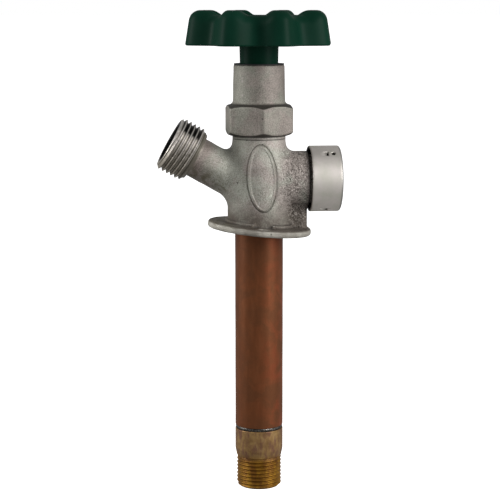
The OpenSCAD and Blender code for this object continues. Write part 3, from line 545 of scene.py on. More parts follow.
def cast_nickel():
    """Sand cast metal with dull nickel plate, pinkish to greenish grey, with the barrel's left side painted
    lighter as
    painted light: grains under a millimetre, crumbly worm marks on the boss, the web and the foot, the web
    painted dark as painted shade under the boss, brown soiling and painted shade on the lower barrel and the
    foot, painted shade in the corners and hollows, olive stains under the spout, a pale rim on the flange
    that is partly a painted highlight, a few dark pits, a painted shade line under the neck's lip, and dark
    chamfers on the hexagon, with soiling and painted shade on top and painted shade underneath. The bonnet is
    darker than the casting."""
    finish = Finish("cast_nickel", 0.4, 0.5, (0.3, 0.285, 0.26))
    grain = finish.noise(0.5, detail=3.0, roughness=0.7)
    worms = finish.noise(1.3, detail=2.0, roughness=0.6, distortion=1.8)
    blotch = finish.noise(8.0, detail=3.0)
    hue = finish.noise(11.0, detail=3.0, distortion=0.5)
    rough_side = finish.times(finish.along("X", 6, 13), finish.along("Z", 43, 38))
    foot = finish.along(FLANGE_UP, 13, 6)
    crumbly = finish.math("MAXIMUM", rough_side, finish.times(foot, 0.7))
    tone = finish.ramp(finish.math("ADD", finish.times(grain, 0.72), finish.times(blotch, 0.28)),
                       (0.36, (0.17, 0.157, 0.14)), (0.5, (0.325, 0.306, 0.28)), (0.64, (0.48, 0.456, 0.424)))
    sandy = finish.ramp(worms, (0.38, (0.075, 0.064, 0.056)), (0.5, (0.3, 0.275, 0.252)),
                        (0.62, (0.54, 0.505, 0.47)))
    tone = finish.blend(finish.times(crumbly, 0.75), tone, sandy)
    # The band at X -12 paints the barrel's left side lighter and greener, painted light from the left; the
    # noise alone is the metal's own tint.
    greenish = finish.math("ADD", hue, finish.times(finish.band("X", -12, 9), 0.18))
    tone = finish.tint(tone, finish.ramp(greenish, (0.44, (1.04, 0.98, 0.965)), (0.66, (1.03, 1.09, 1.02))))
    # Dark coarse crumbs on the web: the crumbly grain is the casting's own, and its darkness is painted shade
    # under the boss.
    web = finish.times(finish.along("X", 12, 15), finish.along("Z", VB_Z - 9, VB_Z - 13))
    crumbs_and_shade = finish.ramp(worms, (0.42, (0.02, 0.016, 0.013)), (0.51, (0.14, 0.115, 0.098)),
                         (0.6, (0.5, 0.45, 0.41)))
    tone = finish.blend(finish.times(web, 0.95), tone, crumbs_and_shade)
    spout = finish.along("X", -20, -25)
    tone = finish.blend(spout, tone, finish.tint(tone, (0.74, 0.695, 0.685)))
    # Darker brown towards the foot: brown soiling in patches, and painted shade on the lower barrel.
    grime_and_low_shade = finish.times(finish.along(FLANGE_UP, 18, 6), finish.ramp(hue, (0.36, 1.0), (0.62, 0.72)))
    tone = finish.blend(grime_and_low_shade, tone, (0.095, 0.077, 0.06))
    stain = finish.times(finish.along("X", -13, -19), finish.along(SPOUT_UP, SPOUT_AXIS - 1, SPOUT_AXIS - 6),
                         finish.ramp(finish.noise(3.2, detail=4.0), (0.44, 0), (0.6, 0.75)))
    tone = finish.blend(stain, tone, (0.1, 0.085, 0.045))
    # Painted shade in corners that other metal closes in.
    tone = finish.blend(finish.times(finish.corner_shade(5, 0.25, 0.6), 0.7), tone, (0.06, 0.054, 0.04))
    # Painted shade in the hollows of the mesh.
    tone = finish.blend(finish.hollows(0.43, 0.485), tone, (0.045, 0.039, 0.033))
    tone = finish.blend(finish.edges(0.53, 0.62), tone, (0.46, 0.44, 0.405))
    # Pale rim round the flange's edge: partly the metal's own paler tone in patches, partly a painted
    # highlight along the upper edge.
    rim = finish.times(finish.along(FLANGE_UP, 3.6, 2.9), finish.facing(FLANGE_UP, 0.8, 0.3),
                       finish.ramp(hue, (0.4, 0.35), (0.6, 0.9)))
    tone = finish.blend(rim, tone, (0.5, 0.48, 0.42))
    tone = finish.blend(finish.ramp(finish.pits(8.0), (0.045, 0.75), (0.07, 0)), tone, (0.05, 0.045, 0.036))
    bonnet = finish.along("Z", HEX_Z - 0.1, HEX_Z)
    tone = finish.blend(bonnet, tone, finish.tint(tone, (0.66, 0.645, 0.63)))
    # A painted shade line under the neck's lip, where a groove would lie in shade.
    lip_shade_line = finish.times(finish.band("Z", BODY_TOP - 1.4, 0.5), finish.along("X", -17, -16))
    # Top chamfer and the corner at the collar's foot: soiling and painted shade.
    crown = finish.times(finish.facing("Z", 0.35, 0.6), finish.along("Z", HEX_TOP - 2.2, HEX_TOP - 1.9),
                         finish.along("Z", HEX_TOP + 0.9, HEX_TOP + 0.2))
    # Bottom chamfer, facing down: painted shade.
    heel_shade = finish.times(finish.facing("Z", -0.35, -0.6), finish.along("Z", HEX_Z - 0.3, HEX_Z - 0.1))
    # One near black for the lip line and both chamfers: painted shade, with soiling on top.
    dirt_and_shade = finish.math("MAXIMUM", lip_shade_line, finish.math("MAXIMUM", crown, heel_shade))
    finish.colour(finish.blend(finish.times(dirt_and_shade, 0.92), tone, (0.028, 0.024, 0.019)))
    finish.roughness(finish.ramp(blotch, (0.3, 0.44), (0.7, 0.6)))
    lumps = finish.times(worms, crumbly, 2.6)
    finish.bump(finish.math("ADD", grain, lumps), 0.24)
    return finish.material


def cut_nickel():
    """Hose thread cut into the plated casting: crests and roots painted light as painted highlights between
    flanks painted dark as painted shade, olive below, dull at the neck, a belt near the top painted black
    between the crests as painted shade, a light rim and the bore painted near black as painted shade."""
    finish = Finish("cut_nickel", 0.5, 0.4, (0.3, 0.285, 0.26))
    crest = finish.marked("crest")
    wear = finish.noise(1.6, detail=4.0, stretch=(1, 2.5, 1))
    # By thread height: painted highlights on crests and roots, painted shade on the flanks.
    ridge_light_and_shade = finish.ramp(crest, (0.26, (0.7, 0.66, 0.61)), (0.4, (0.1, 0.086, 0.07)),
                         (0.66, (0.115, 0.1, 0.082)), (0.8, (0.5, 0.465, 0.435)))
    ridge_light_and_shade = finish.blend(finish.ramp(wear, (0.48, 0), (0.7, 0.6)), ridge_light_and_shade, (0.1, 0.086, 0.068))
    lower = finish.along(SPOUT_UP, SPOUT_AXIS + 2, SPOUT_AXIS - 9)
    ridge_light_and_shade = finish.blend(finish.times(lower, 0.6), ridge_light_and_shade, finish.tint(ridge_light_and_shade, (0.62, 0.6, 0.48)))
    shaded = finish.ramp(crest, (0.7, (0.008, 0.007, 0.006)), (0.95, (0.4, 0.38, 0.35)))
    ridge_light_and_shade = finish.blend(finish.times(lower, 0.5), ridge_light_and_shade, (0.21, 0.187, 0.145))
    neck_end = HOSE_START + SPOUT_Z * np.sin(SPOUT_RISE)
    neck = finish.along(SPOUT_OUT, neck_end + 1.3, neck_end + 0.2)
    ridge_light_and_shade = finish.blend(neck, ridge_light_and_shade, (0.15, 0.135, 0.108))
    # Belt near the top: black between the crests, painted shade.
    upper = finish.times(finish.along(SPOUT_UP, SPOUT_AXIS + 7.6, SPOUT_AXIS + 8.6),
                         finish.along(SPOUT_UP, SPOUT_AXIS + 12.6, SPOUT_AXIS + 12.0),
                         finish.along(SPOUT_OUT, neck_end + 0.5, neck_end + 2.5))
    tone = finish.blend(upper, ridge_light_and_shade, shaded)
    # The bore, where crest falls below zero, is painted near black as painted shade.
    finish.colour(finish.blend(finish.share(crest, -0.1, -0.6), tone, (0.006, 0.006, 0.005)))
    finish.roughness(finish.ramp(wear, (0.3, 0.32), (0.7, 0.5)))
    finish.bump(wear, 0.05)
    return finish.material


def satin_nickel():
    """Smooth drawn cap with satin nickel plate: fine lines round the cap, faint clouding from pinkish to
    greenish, the rounded end edge painted darker as painted shade against its highlight, and the inside
    painted near black as painted shade."""
    finish = Finish("satin_nickel", 0.9, 0.5, (0.7, 0.67, 0.63))
    lines = finish.noise(0.12, detail=2.0, stretch=(1, 60, 60))
    cloud = finish.noise(7.0, detail=3.0)
    plate = finish.ramp(cloud, (0.35, (0.65, 0.63, 0.56)), (0.65, (0.75, 0.7, 0.66)))
    # Inside of the cup painted near black, as painted shade inside the cap.
    shell = finish.off_axis((0, 0, VB_Z), (0, 1, 1), CAP_R - 0.55, CAP_R - 0.2)
    shell = finish.math("MAXIMUM", shell, finish.along("X", CAP_HIGH[0] - 0.8, CAP_HIGH[0] - 0.5))
    # Rounded end edge painted darker, painted shade that holds down the lamp's highlight there.
    edge = finish.times(finish.off_axis((0, 0, VB_Z), (0, 1, 1), CAP_R - 1.4, CAP_R - 0.9),
                        finish.along("X", CAP_HIGH[0] - 1.3, CAP_HIGH[0] - 0.7))
    plate = finish.blend(edge, plate, (0.3, 0.285, 0.265))
    finish.colour(finish.blend(shell, (0.015, 0.014, 0.012), plate))
    finish.roughness(finish.ramp(lines, (0.3, 0.46), (0.7, 0.58)))
    finish.bump(lines, 0.008)
    return finish.material


def aged_copper():
    """Drawn copper tube gone brown: weak lengthwise streaks, dark stains, redder patches on the right that
    are partly painted light from the right, and a painted shadow under the flange."""
    finish = Finish("aged_copper", 0.5, 0.48, (0.15, 0.05, 0.02))
    finish.shader.inputs["Specular IOR Level"].default_value = 0.15
    streak = finish.noise(2.6, detail=4.0, stretch=(1, 1, 5))
    stain = finish.noise(9.0, detail=4.0, distortion=0.6)
    fine = finish.noise(0.5, detail=3.0, stretch=(1, 1, 5))
    base = finish.ramp(streak, (0.3, (0.142, 0.047, 0.0175)), (0.5, (0.163, 0.054, 0.020)),
                       (0.72, (0.19, 0.066, 0.026)))
    # Redder patches right of centre: the copper's own redder tone, and painted light from the right.
    red_and_lit_right = finish.times(finish.along("X", -3, 7), finish.ramp(stain, (0.35, 0.8), (0.6, 0)))
    base = finish.blend(red_and_lit_right, base, (0.22, 0.055, 0.022))
    base = finish.blend(finish.ramp(stain, (0.42, 0), (0.62, 0.5)), base, (0.095, 0.038, 0.016))
    # Painted shadow under the flange: the tube darkens towards its top.
    finish.colour(finish.blend(finish.times(finish.along("Z", -26, -6), 0.45), base, (0.085, 0.03, 0.012)))
    finish.roughness(finish.ramp(stain, (0.3, 0.38), (0.7, 0.52)))
    finish.bump(finish.math("ADD", streak, fine), 0.03)
    return finish.material


def dull_brass():
    """Turned brass gone dull: olive gold towards the threaded end, brown in the roots, with purplish brown
    heat stains and fine turning lines."""
    finish = Finish("dull_brass", 0.5, 0.45, (0.32, 0.18, 0.06))
    finish.shader.inputs["Specular IOR Level"].default_value = 0.15
    cloud = finish.noise(4.0, detail=4.0)
    stain = finish.noise(2.6, detail=4.0, distortion=0.8)
    lines = finish.noise(0.16, detail=2.0, stretch=(40, 40, 1))
    base = finish.ramp(cloud, (0.3, (0.2, 0.112, 0.045)), (0.55, (0.33, 0.2, 0.08)),
                       (0.75, (0.44, 0.3, 0.125)))
    wipe = finish.noise(2.2, detail=4.0, stretch=(1, 1, 4), distortion=0.4)
    base = finish.blend(finish.ramp(wipe, (0.46, 0), (0.64, 0.75)), base, (0.16, 0.074, 0.055))
    base = finish.blend(finish.ramp(stain, (0.5, 0), (0.66, 0.5)), base, (0.17, 0.08, 0.05))
    gold = finish.blend(0.85, base, (0.84, 0.65, 0.03), "MULTIPLY")
    base = finish.blend(finish.along("Z", PIPE_Z + 2.2, PIPE_Z - 1.3), base, gold)
    roots = finish.blend(0.45, base, (0.07, 0.035, 0.008))
    finish.colour(finish.blend(finish.edges(0.45, 0.52), roots, base))
    finish.roughness(finish.ramp(cloud, (0.3, 0.34), (0.7, 0.5)))
    finish.bump(lines, 0.02)
    return finish.material


def soft_solder():
    """Dull grey solder with bright flecks and lumps."""
    finish = Finish("soft_solder", 0.8, 0.45, (0.3, 0.29, 0.28))
    fleck = finish.noise(0.8, detail=4.0)
    finish.colour(finish.ramp(fleck, (0.42, (0.03, 0.027, 0.024)), (0.6, (0.12, 0.11, 0.1)),
                              (0.76, (0.34, 0.325, 0.3))))
    finish.roughness(finish.ramp(fleck, (0.3, 0.6), (0.7, 0.28)))
    finish.bump(fleck, 0.2)
    return finish.material


def green_moulding():
    """Dark green satin moulding: very fine texture, faint flow marks and paler scuffed edges."""
    finish = Finish("green_moulding", 0.0, 0.45, (0.004, 0.03, 0.017))
    finish.shader.inputs["Specular IOR Level"].default_value = 0.04
    flow = finish.noise(14.0, detail=3.0, stretch=(1, 1, 2))
    fine = finish.noise(0.35, detail=3.0)
    base = finish.ramp(flow, (0.3, (0.0022, 0.021, 0.0115)), (0.7, (0.0036, 0.029, 0.017)))
    finish.colour(finish.blend(finish.edges(0.52, 0.62), base, (0.01, 0.04, 0.027)))
    finish.roughness(finish.ramp(flow, (0.3, 0.42), (0.7, 0.5)))
    finish.bump(fine, 0.02)
    return finish.material


def black_rubber():
    """Matt black rubber with a fine dusty grain."""
    finish = Finish("black_rubber", 0.0, 0.7, (0.012, 0.012, 0.012))
    dust = finish.noise(0.8, detail=4.0)
    finish.colour(finish.ramp(dust, (0.4, (0.005, 0.005, 0.005)), (0.75, (0.014, 0.014, 0.013))))
    finish.bump(dust, 0.03)
    return finish.material


def screw_steel():
    """Zinc plated steel with a fine crystalline shimmer."""
    finish = Finish("screw_steel", 1.0, 0.35, (0.55, 0.55, 0.55))
    shimmer = finish.noise(0.6, detail=3.0)
    finish.colour(finish.ramp(shimmer, (0.3, (0.45, 0.45, 0.46)), (0.7, (0.66, 0.66, 0.67))))
    finish.roughness(finish.ramp(shimmer, (0.3, 0.28), (0.7, 0.42)))
    finish.bump(shimmer, 0.01)
    return finish.material


def grey_plastic():
    """Moulded dark grey plastic with faint clouding."""
    finish = Finish("grey_plastic", 0.0, 0.45, (0.06, 0.06, 0.06))
    cloud = finish.noise(3.0, detail=3.0)
    finish.colour(finish.ramp(cloud, (0.3, (0.045, 0.045, 0.047)), (0.7, (0.075, 0.075, 0.075))))
    finish.bump(cloud, 0.02)
    return finish.material


FINISHES = {"cast_nickel": cast_nickel(), "cut_nickel": cut_nickel(), "satin_nickel": satin_nickel(),
            "copper": aged_copper(), "raw_brass": dull_brass(), "solder": soft_solder(),
            "green_handle": green_moulding(), "black_rubber": black_rubber(), "screw_steel": screw_steel(),
            "grey_plastic": grey_plastic()}

# Every solid that stays gets its slot's finish
for subpart in frame["record"]["subparts"]:
    solid = frame["nodes"][subpart["node"]]
    solid.data.materials.clear()
    solid.data.materials.append(FINISHES[subpart["material_slot"]])


# Casting
def barrel_radius(z):
    """Radius of barrel, cone and neck at height z, with soft ends to the cone."""
    return BARREL_R + (NECK_R - BARREL_R) * smooth_step(z, CONE_Z[0] - 1, CONE_Z[1] + 1)


def pad_distance(x, z):
    """About how far a point lies outside the oval on the front, in millimetres."""
    up = (z - PAD_Z) * np.cos(PAD_LEAN) - x * np.sin(PAD_LEAN)
    across = x * np.cos(PAD_LEAN) + (z - PAD_Z) * np.sin(PAD_LEAN)
    across, up = across / PAD_HALF_W, up / PAD_HALF_H
    slope = 2 * np.hypot(across / PAD_HALF_W, up / PAD_HALF_H)
    return (across ** 2 + up ** 2 - 1) / np.maximum(slope, 0.02)


def spout_place(x, y, z):
    """Distance along the spout's axis and distance from it."""
    along = (z - SPOUT_Z) * np.sin(SPOUT_RISE) - x * np.cos(SPOUT_RISE)
    return along, np.hypot(y, (z - SPOUT_Z) * np.cos(SPOUT_RISE) + x * np.sin(SPOUT_RISE))


def casting_field(p):
    """Barrel, pitched flange, spout, boss and web, joined by fillets and bored out: each is its distance
    to a cylinder or slab, and the whole has a slight waviness of cast metal."""
    x, y, z = np.moveaxis(p, -1, 0)
    rho = np.hypot(x, y)
    flange_x = x * np.cos(DRAIN_PITCH) - z * np.sin(DRAIN_PITCH)
    flange_z = x * np.sin(DRAIN_PITCH) + z * np.cos(DRAIN_PITCH)
    flange_rho = np.hypot(flange_x, y)
    along, spout_rho = spout_place(x, y, z)
    vb_rho = np.hypot(y, z - VB_Z)

    recess = PAD_RECESS * smooth_step(pad_distance(x, z), 0.95, -0.3) * (y < 0)
    barrel = common(rho - barrel_radius(z) + recess, np.maximum(z - BODY_TOP, -FLANGE_T - z), BODY_EDGE_R)

    flange = common(flange_rho - FLANGE_R, np.abs(flange_z - FLANGE_T / 2) - FLANGE_T / 2, FLANGE_EDGE_R)
    foot = common(flange_rho - FOOT_R, np.maximum(flange_z - FLANGE_T - FOOT_H, -flange_z), FOOT_EDGE_R)
    fixing_rho = np.hypot(flange_x, np.abs(y) - FIXING_R)
    spot_face = np.maximum(fixing_rho - SPOT_FACE_R, FLANGE_T - SPOT_FACE_DEPTH - flange_z)
    flange = carve(join(flange, foot, FOOT_FILLET), spot_face, SPOT_FACE_EDGE_R)
    solid = join(barrel, flange, FLANGE_FILLET)

    under_r = HOSE_ROOT_R - 0.25
    flare = smooth_step(along, HOSE_START - 2.2, HOSE_START + 0.6)
    spout_r = SPOUT_NECK_R + (under_r - SPOUT_NECK_R) * flare
    spout = np.maximum(common(spout_rho - spout_r, along - SPOUT_REACH + 0.4, SPOUT_EDGE_R), -along)
    solid = join(solid, spout, BRANCH_FILLET)

    boss = np.maximum(common(vb_rho - BOSS_R, x - BOSS_REACH, BOSS_EDGE_R), -x)
    spigot = np.maximum(common(vb_rho - SPIGOT_R, x - SPIGOT_END, SPIGOT_EDGE_R), -x)
    web_end = BOSS_REACH - 0.3 - WEB_EDGE_R
    over_x, over_y = x - web_end, np.abs(y) - WEB_HALF_T + WEB_EDGE_R
    web = np.hypot(np.maximum(over_x, 0), np.maximum(over_y, 0)) + np.minimum(np.maximum(over_x, over_y), 0)
    web = np.maximum(np.maximum(web - WEB_EDGE_R, z - VB_Z), -x)
    solid = join(join(solid, np.minimum(boss, spigot), BOSS_FILLET), web, WEB_FILLET)

    wave = np.sin(0.61 * x + 1.7 * np.sin(0.37 * z)) * np.sin(0.53 * y + 0.47 * z + 0.8)
    solid = solid + CAST_WAVE * wave

    mouth = np.maximum(spout_rho - MOUTH_R - 0.7, SPOUT_REACH - MOUTH_DEPTH - along)
    bores = np.minimum.reduce([
        rho - CHAMBER_R, np.maximum(rho - SOCKET_R, z - SOCKET_TOP),
        np.maximum(rho - SOCKET_R - 1.2, z - FLANGE_T),
        np.maximum(rho - BONNET_BORE_R, NUT_LOW[2] - 0.3 - z),
        np.maximum(rho - GASKET_RECESS_R, HEX_Z - 1.1 - z),
        np.maximum(spout_rho - SPOUT_WAY_R, -along), mouth,
        np.maximum(vb_rho - VB_WAY_R, -x), np.maximum(vb_rho - FLOAT_CHAMBER_R, FLOAT_FLOOR_X - x),
        fixing_rho - FIXING_HOLE_R])
    return np.maximum(carve(solid, bores, BORE_EDGE_R), -flange_z)


def make_casting():
    """Skin of the casting, from its field."""
    mouth_top = SPOUT_Z + SPOUT_REACH * np.sin(SPOUT_RISE) + HOSE_CREST_R
    low = (-SPOUT_REACH - 6, -FLANGE_R - 1, -FLANGE_T)
    high = (SPIGOT_END + 1, FLANGE_R + 1, mouth_top)
    piece = field_mesh("casting", casting_field, low, high, CASTING_STEP)
    dress(piece, "body", "cast_nickel", FINISHES["cast_nickel"], "body_casting")


def make_front_pad():
    """Bare oval pad: rings of an ellipse on the barrel's front, with a lip, a groove, a raised rim and a
    flat field, each a smooth bump or hollow of the distance to the oval. The same rings, moved into the
    wall, close it behind."""
    share = np.concatenate([[0.002, 0.004], np.linspace(0.02, 0.8, 14), np.linspace(0.82, 1.17, 42)])
    share, turns = share[:, None], around(192)
    across, up = share * PAD_HALF_W * np.cos(turns), share * PAD_HALF_H * np.sin(turns)
    x = across * np.cos(PAD_LEAN) - up * np.sin(PAD_LEAN)
    z = PAD_Z + up * np.cos(PAD_LEAN) + across * np.sin(PAD_LEAN)
    distance = pad_distance(x, z)
    lip = 0.06 - 0.5 * smooth_step(distance, 0.75, 1.15)
    groove = 0.5 * np.exp(-((distance - 0.15) / 0.32) ** 2)
    rim = 0.28 * np.exp(-((distance + 0.95) / 0.45) ** 2)
    field = 0.25 * smooth_step(distance, 0.1, -0.5)
    y = -np.sqrt(np.maximum(barrel_radius(z) ** 2 - x ** 2, 0)) - (lip - groove + rim + field)
    front = np.stack([x, y, z], axis=-1)
    piece = grid_mesh("front_pad", np.concatenate([front, front[::-1] + (0, PAD_BACK, 0)]))
    dress(piece, "body", "cast_nickel", FINISHES["cast_nickel"], "body_casting")


def thread_share(pitches):
    """Height of a V thread from 0 in the root to 1 on the crest, with narrow flats on both."""
    saw = np.abs(pitches % 1 * 2 - 1)
    return np.clip((saw - 0.1) / 0.78, 0, 1)


def make_hose_thread():
    """Hose thread sleeve: a helical V thread that fades in at the neck and is chamfered at the mouth, then
    the flat rim, the bore and the way back inside the wall."""
    turns = around(160)
    rim_r, floor = HOSE_ROOT_R - 0.1, SPOUT_REACH - MOUTH_DEPTH
    along = np.linspace(HOSE_START - 1.6, SPOUT_REACH, 190)[:, None]
    thread = thread_share(along / HOSE_PITCH + turns / TURN)
    fade = smooth_step(along, HOSE_START - 1.2, HOSE_START + 0.8)
    radius = np.minimum(HOSE_ROOT_R + HOSE_DEPTH * thread * fade, rim_r + (SPOUT_REACH - along))
    radius = radius - 0.6 * smooth_step(along, HOSE_START - 0.2, HOSE_START - 1.6)
    rim = rounded_profile([(rim_r, SPOUT_REACH), (MOUTH_R, SPOUT_REACH), (MOUTH_R, floor),
                           (MOUTH_R + 0.9, floor)], 0.35)[3:]
    radius = np.concatenate([radius, np.broadcast_to(rim[:, :1], (len(rim), len(turns)))])
    along = np.concatenate([along, rim[:, 1:]])
    piece = grid_mesh("hose_thread", turned(radius, along, turns, "spout"))
    # Thread height, from which cut_nickel paints highlights on crests, shade on flanks and near black down
    # the bore.
    crest = np.clip((radius - HOSE_ROOT_R) / HOSE_DEPTH, 0, 1)
    crest = np.maximum(crest, smooth_step(along, SPOUT_REACH - 1.6, SPOUT_REACH - 1.2))
    crest[-len(rim):] = 1 - 2 * smooth_step(rim[:, :1], MOUTH_R + 0.7, MOUTH_R + 0.3)
    mark(piece, "crest", crest)
    dress(piece, "body", "cast_nickel", FINISHES["cut_nickel"], "body_casting")


make_casting()
make_front_pad()
make_hose_thread()


# Vacuum breaker cap
def block(*spans):
    """Field of a block whose spans each give a coordinate, its middle and half its width."""
    return np.maximum.reduce([np.abs(value - middle) - half for value, middle, half in spans])


def cap_field(p):
    """Deep drawn cup: a rounded disc less a smaller one, with three tabs lanced inwards, each a sloping cut
    that ends in a window, and a weep hole in the side."""
    x, y, z = np.moveaxis(p, -1, 0)
    up, rho = z - VB_Z, np.hypot(y, z - VB_Z)
    outer = common(rho - CAP_R, x - CAP_HIGH[0], CAP_EDGE_R)
    inner = common(rho - CAP_R + CAP_WALL, x - CAP_HIGH[0] + CAP_WALL, CAP_EDGE_R - CAP_WALL)
    cup = common(carve(outer, inner, 0.2), CAP_LOW[0] - x, CAP_MOUTH_R)
    for k in range(TABS):
        angle = np.radians(TAB_ANGLE) - k * TURN / TABS
        out = -y * np.cos(angle) + up * np.sin(angle)
        side = y * np.sin(angle) + up * np.cos(angle)
        tab = block((x, TAB_X, TAB_HALF_LEN), (side, 0, TAB_HALF_W), (out, TAB_R, TAB_HALF_T))
        floor = CAP_R - LANCE_FALL * (x - SPIGOT_END + LANCE_LEN)
        lance = block((x, SPIGOT_END - LANCE_LEN / 2, LANCE_LEN / 2), (side, 0, LANCE_HALF_W))
        window = block((x, SPIGOT_END - WINDOW_HALF_LEN, WINDOW_HALF_LEN), (side, WINDOW_SIDE, WINDOW_HALF_W))
        if k > 0:
            slit = block((x, SLIT_X, SLIT_HALF_LEN), (side, LANCE_HALF_W, SLIT_HALF_W))
            window = np.minimum(window, slit)
        cuts = np.minimum(np.maximum(lance, floor - out), np.maximum(window, SPIGOT_R - out))
        cup = carve(np.minimum(cup, tab), cuts, LANCE_EDGE_R)
        if k == 0:
            weep = np.maximum(np.hypot(x - WEEP_X, side) - WEEP_R, -out)
            cup = carve(cup, weep, WEEP_EDGE_R)
    return cup


def make_cap():
    """Skin of the cap, from its field."""
    piece = field_mesh("vacuum_breaker_cap", cap_field, (CAP_LOW[0] - 1, -CAP_R - 1, VB_Z - CAP_R - 1),
                       (CAP_HIGH[0] + 1, CAP_R + 1, VB_Z + CAP_R + 1), CAP_STEP)
    dress(piece, "body", "satin_nickel", FINISHES["satin_nickel"], "vb_cap")


make_cap()


# Tube and inlet
def make_tube():
    """Drawn tube: its closed wall section turned round the axis, with dents of a few hundredths."""
    bore_r = TUBE_R - TUBE_WALL
    section = [(TUBE_R, TUBE_LOW[2]), (TUBE_R, TUBE_HIGH[2]), (bore_r, TUBE_HIGH[2]), (bore_r, TUBE_LOW[2])]
    profile = split_long(rounded_profile(section, 0.3), 2.0)
    turns = around(128)
    radius, height = profile[:, :1], profile[:, 1:]
    dents = TUBE_DENT * (np.sin(3 * turns + 0.09 * height) * np.sin(0.11 * height + 1.0) - 1)
    piece = grid_mesh("tube", turned(radius + dents, height, turns))
    dress(piece, "body", "copper", FINISHES["copper"], "copper_tube")


def make_adapter():
    """Turned inlet end: its closed section round the axis, with a helical V thread cut into the stretch
    below the hub that fades out at the hub and runs off the chamfered end."""
    low, high = ADAPTER_LOW[2], ADAPTER_HIGH[2]
    hub_z = BEAD_LOW[2]
    spigot_top = high - 1.2
    section = [(PIPE_CREST_R - PIPE_CHAMFER, low), (PIPE_CREST_R, low + PIPE_CHAMFER), (PIPE_CREST_R, PIPE_Z),
               (TUBE_R, PIPE_Z + HUB_TAPER), (TUBE_R, hub_z), (ADAPTER_SPIGOT_R, hub_z),
               (ADAPTER_SPIGOT_R, spigot_top), (ORIFICE_R + 2.1, spigot_top), (ORIFICE_R + 0.9, high),
               (ORIFICE_R, high), (ORIFICE_R, hub_z), (ADAPTER_WAY_R, hub_z),
               (ADAPTER_WAY_R, low + CUP_DEPTH), (CUP_R, low + CUP_DEPTH), (CUP_R, low)]
    profile = split_long(rounded_profile(section, 0.3), 0.11)
    turns = around(144)
    radius, height = profile[:, :1], profile[:, 1:]
    outside = radius > CUP_R + 0.8
    on_thread = smooth_step(height, PIPE_Z, PIPE_Z - 0.6) * outside
    on_thread = on_thread * smooth_step(height, low - 0.1, low + 0.5)
    depth = np.minimum(PIPE_DEPTH, radius - CUP_R - 0.6)
    undercut = UNDERCUT * np.exp(-((height - PIPE_Z - 0.2) / 0.3) ** 2) * outside
    radius = radius - undercut - on_thread * depth * (1 - thread_share(-height / PIPE_PITCH + turns / TURN))
    piece = grid_mesh("inlet_end", turned(radius, height, turns))
    dress(piece, "body", "raw_brass", FINISHES["raw_brass"], "inlet_adapter")


def make_solder_bead():
    """Lumpy bead in the groove between tube and inlet end: a round section that swells round the turn."""
    turns = around(160)
    middle, half = (BEAD_LOW[2] + BEAD_HIGH[2]) / 2, (BEAD_HIGH[2] - BEAD_LOW[2]) / 2
    lump = 0.16 * np.sin(7 * turns + 1) + 0.12 * np.sin(13 * turns + 2) + 0.1 * np.sin(23 * turns)
    ring = around(24)[:, None]
    radius = TUBE_R - 0.75 + (0.5 + 0.25 * lump) * np.cos(ring)
    height = middle + (half + 0.05) * np.sin(ring)
    piece = grid_mesh("solder_bead", turned(radius, height, turns))
    dress(piece, "body", "solder", FINISHES["solder"], "inlet_solder_ring")


make_tube()
make_adapter()
make_solder_bead()


# Bonnet
def nut_field(p):
    """Cast bonnet: a hexagon chamfered by two cones, a collar on top and a thread stub below, bored out
    for the stem and the handle's sleeve."""
    x, y, z = np.moveaxis(p, -1, 0)
    rho = np.hypot(x, y)
    sides = [np.abs(x * np.cos(a) + y * np.sin(a)) - HEX_HALF_AF
             for a in np.radians([HEX_CLOCK, HEX_CLOCK + 60, HEX_CLOCK + 120])]
    prism = common(common(sides[0], sides[1], HEX_CORNER_R), sides[2], HEX_CORNER_R)
    ends = np.maximum(z - HEX_TOP, HEX_Z - z)
    chamfers = (rho - HEX_FACE_R) * np.sin(HEX_CHAMFER) + ends * np.cos(HEX_CHAMFER)
    hexagon = common(common(prism, chamfers, HEX_CHAMFER_R), ends, HEX_RIM_R)
    collar_r = COLLAR_R + (COLLAR_TOP_R - COLLAR_R) * (z - HEX_TOP) / (COLLAR_TOP - HEX_TOP)
    collar = np.maximum(common(rho - collar_r, z - COLLAR_TOP, COLLAR_EDGE_R), HEX_Z + 1 - z)
    stub = np.maximum(common(rho - BONNET_THREAD_R, NUT_LOW[2] - z, BONNET_THREAD_EDGE_R), z - HEX_Z - 1)
    wave = np.sin(0.7 * x + 1.3) * np.sin(0.62 * y + 0.55 * z)
    solid = np.minimum(join(hexagon, collar, COLLAR_FILLET), stub) + NUT_WAVE * wave
    well_floor = COLLAR_TOP - WELL_DEPTH
    lead_top = NUT_LOW[2] + LEAD_DEPTH
    bores = np.minimum.reduce([np.maximum(rho - LEAD_BORE_R, z - lead_top), rho - LAND_BORE_R,
                               np.maximum(rho - WELL_R, well_floor - z)])
    return carve(solid, bores, BONNET_BORE_EDGE_R)


def make_nut():
    """Skin of the bonnet nut, from its field."""
    piece = field_mesh("bonnet", nut_field, NUT_LOW - 1, NUT_HIGH + 1, NUT_STEP)
    dress(piece, "body", "cast_nickel", FINISHES["cast_nickel"], "bonnet_nut")


def make_wiper():
    """Wiper washer with soft edges, its section turned round the axis."""
    top = WIPER_HIGH[2] - WIPER_THINNER
    section = [(WIPER_HIGH[0], WIPER_LOW[2]), (WIPER_HIGH[0], top), (WELL_R, top), (WELL_R, WIPER_LOW[2])]
    profile = rounded_profile(section, 0.25)
    piece = grid_mesh("wiper", turned(profile[:, 0], profile[:, 1], around(128)))
    dress(piece, "body", "black_rubber", FINISHES["black_rubber"], "wiper_washer")


make_nut()
make_wiper()


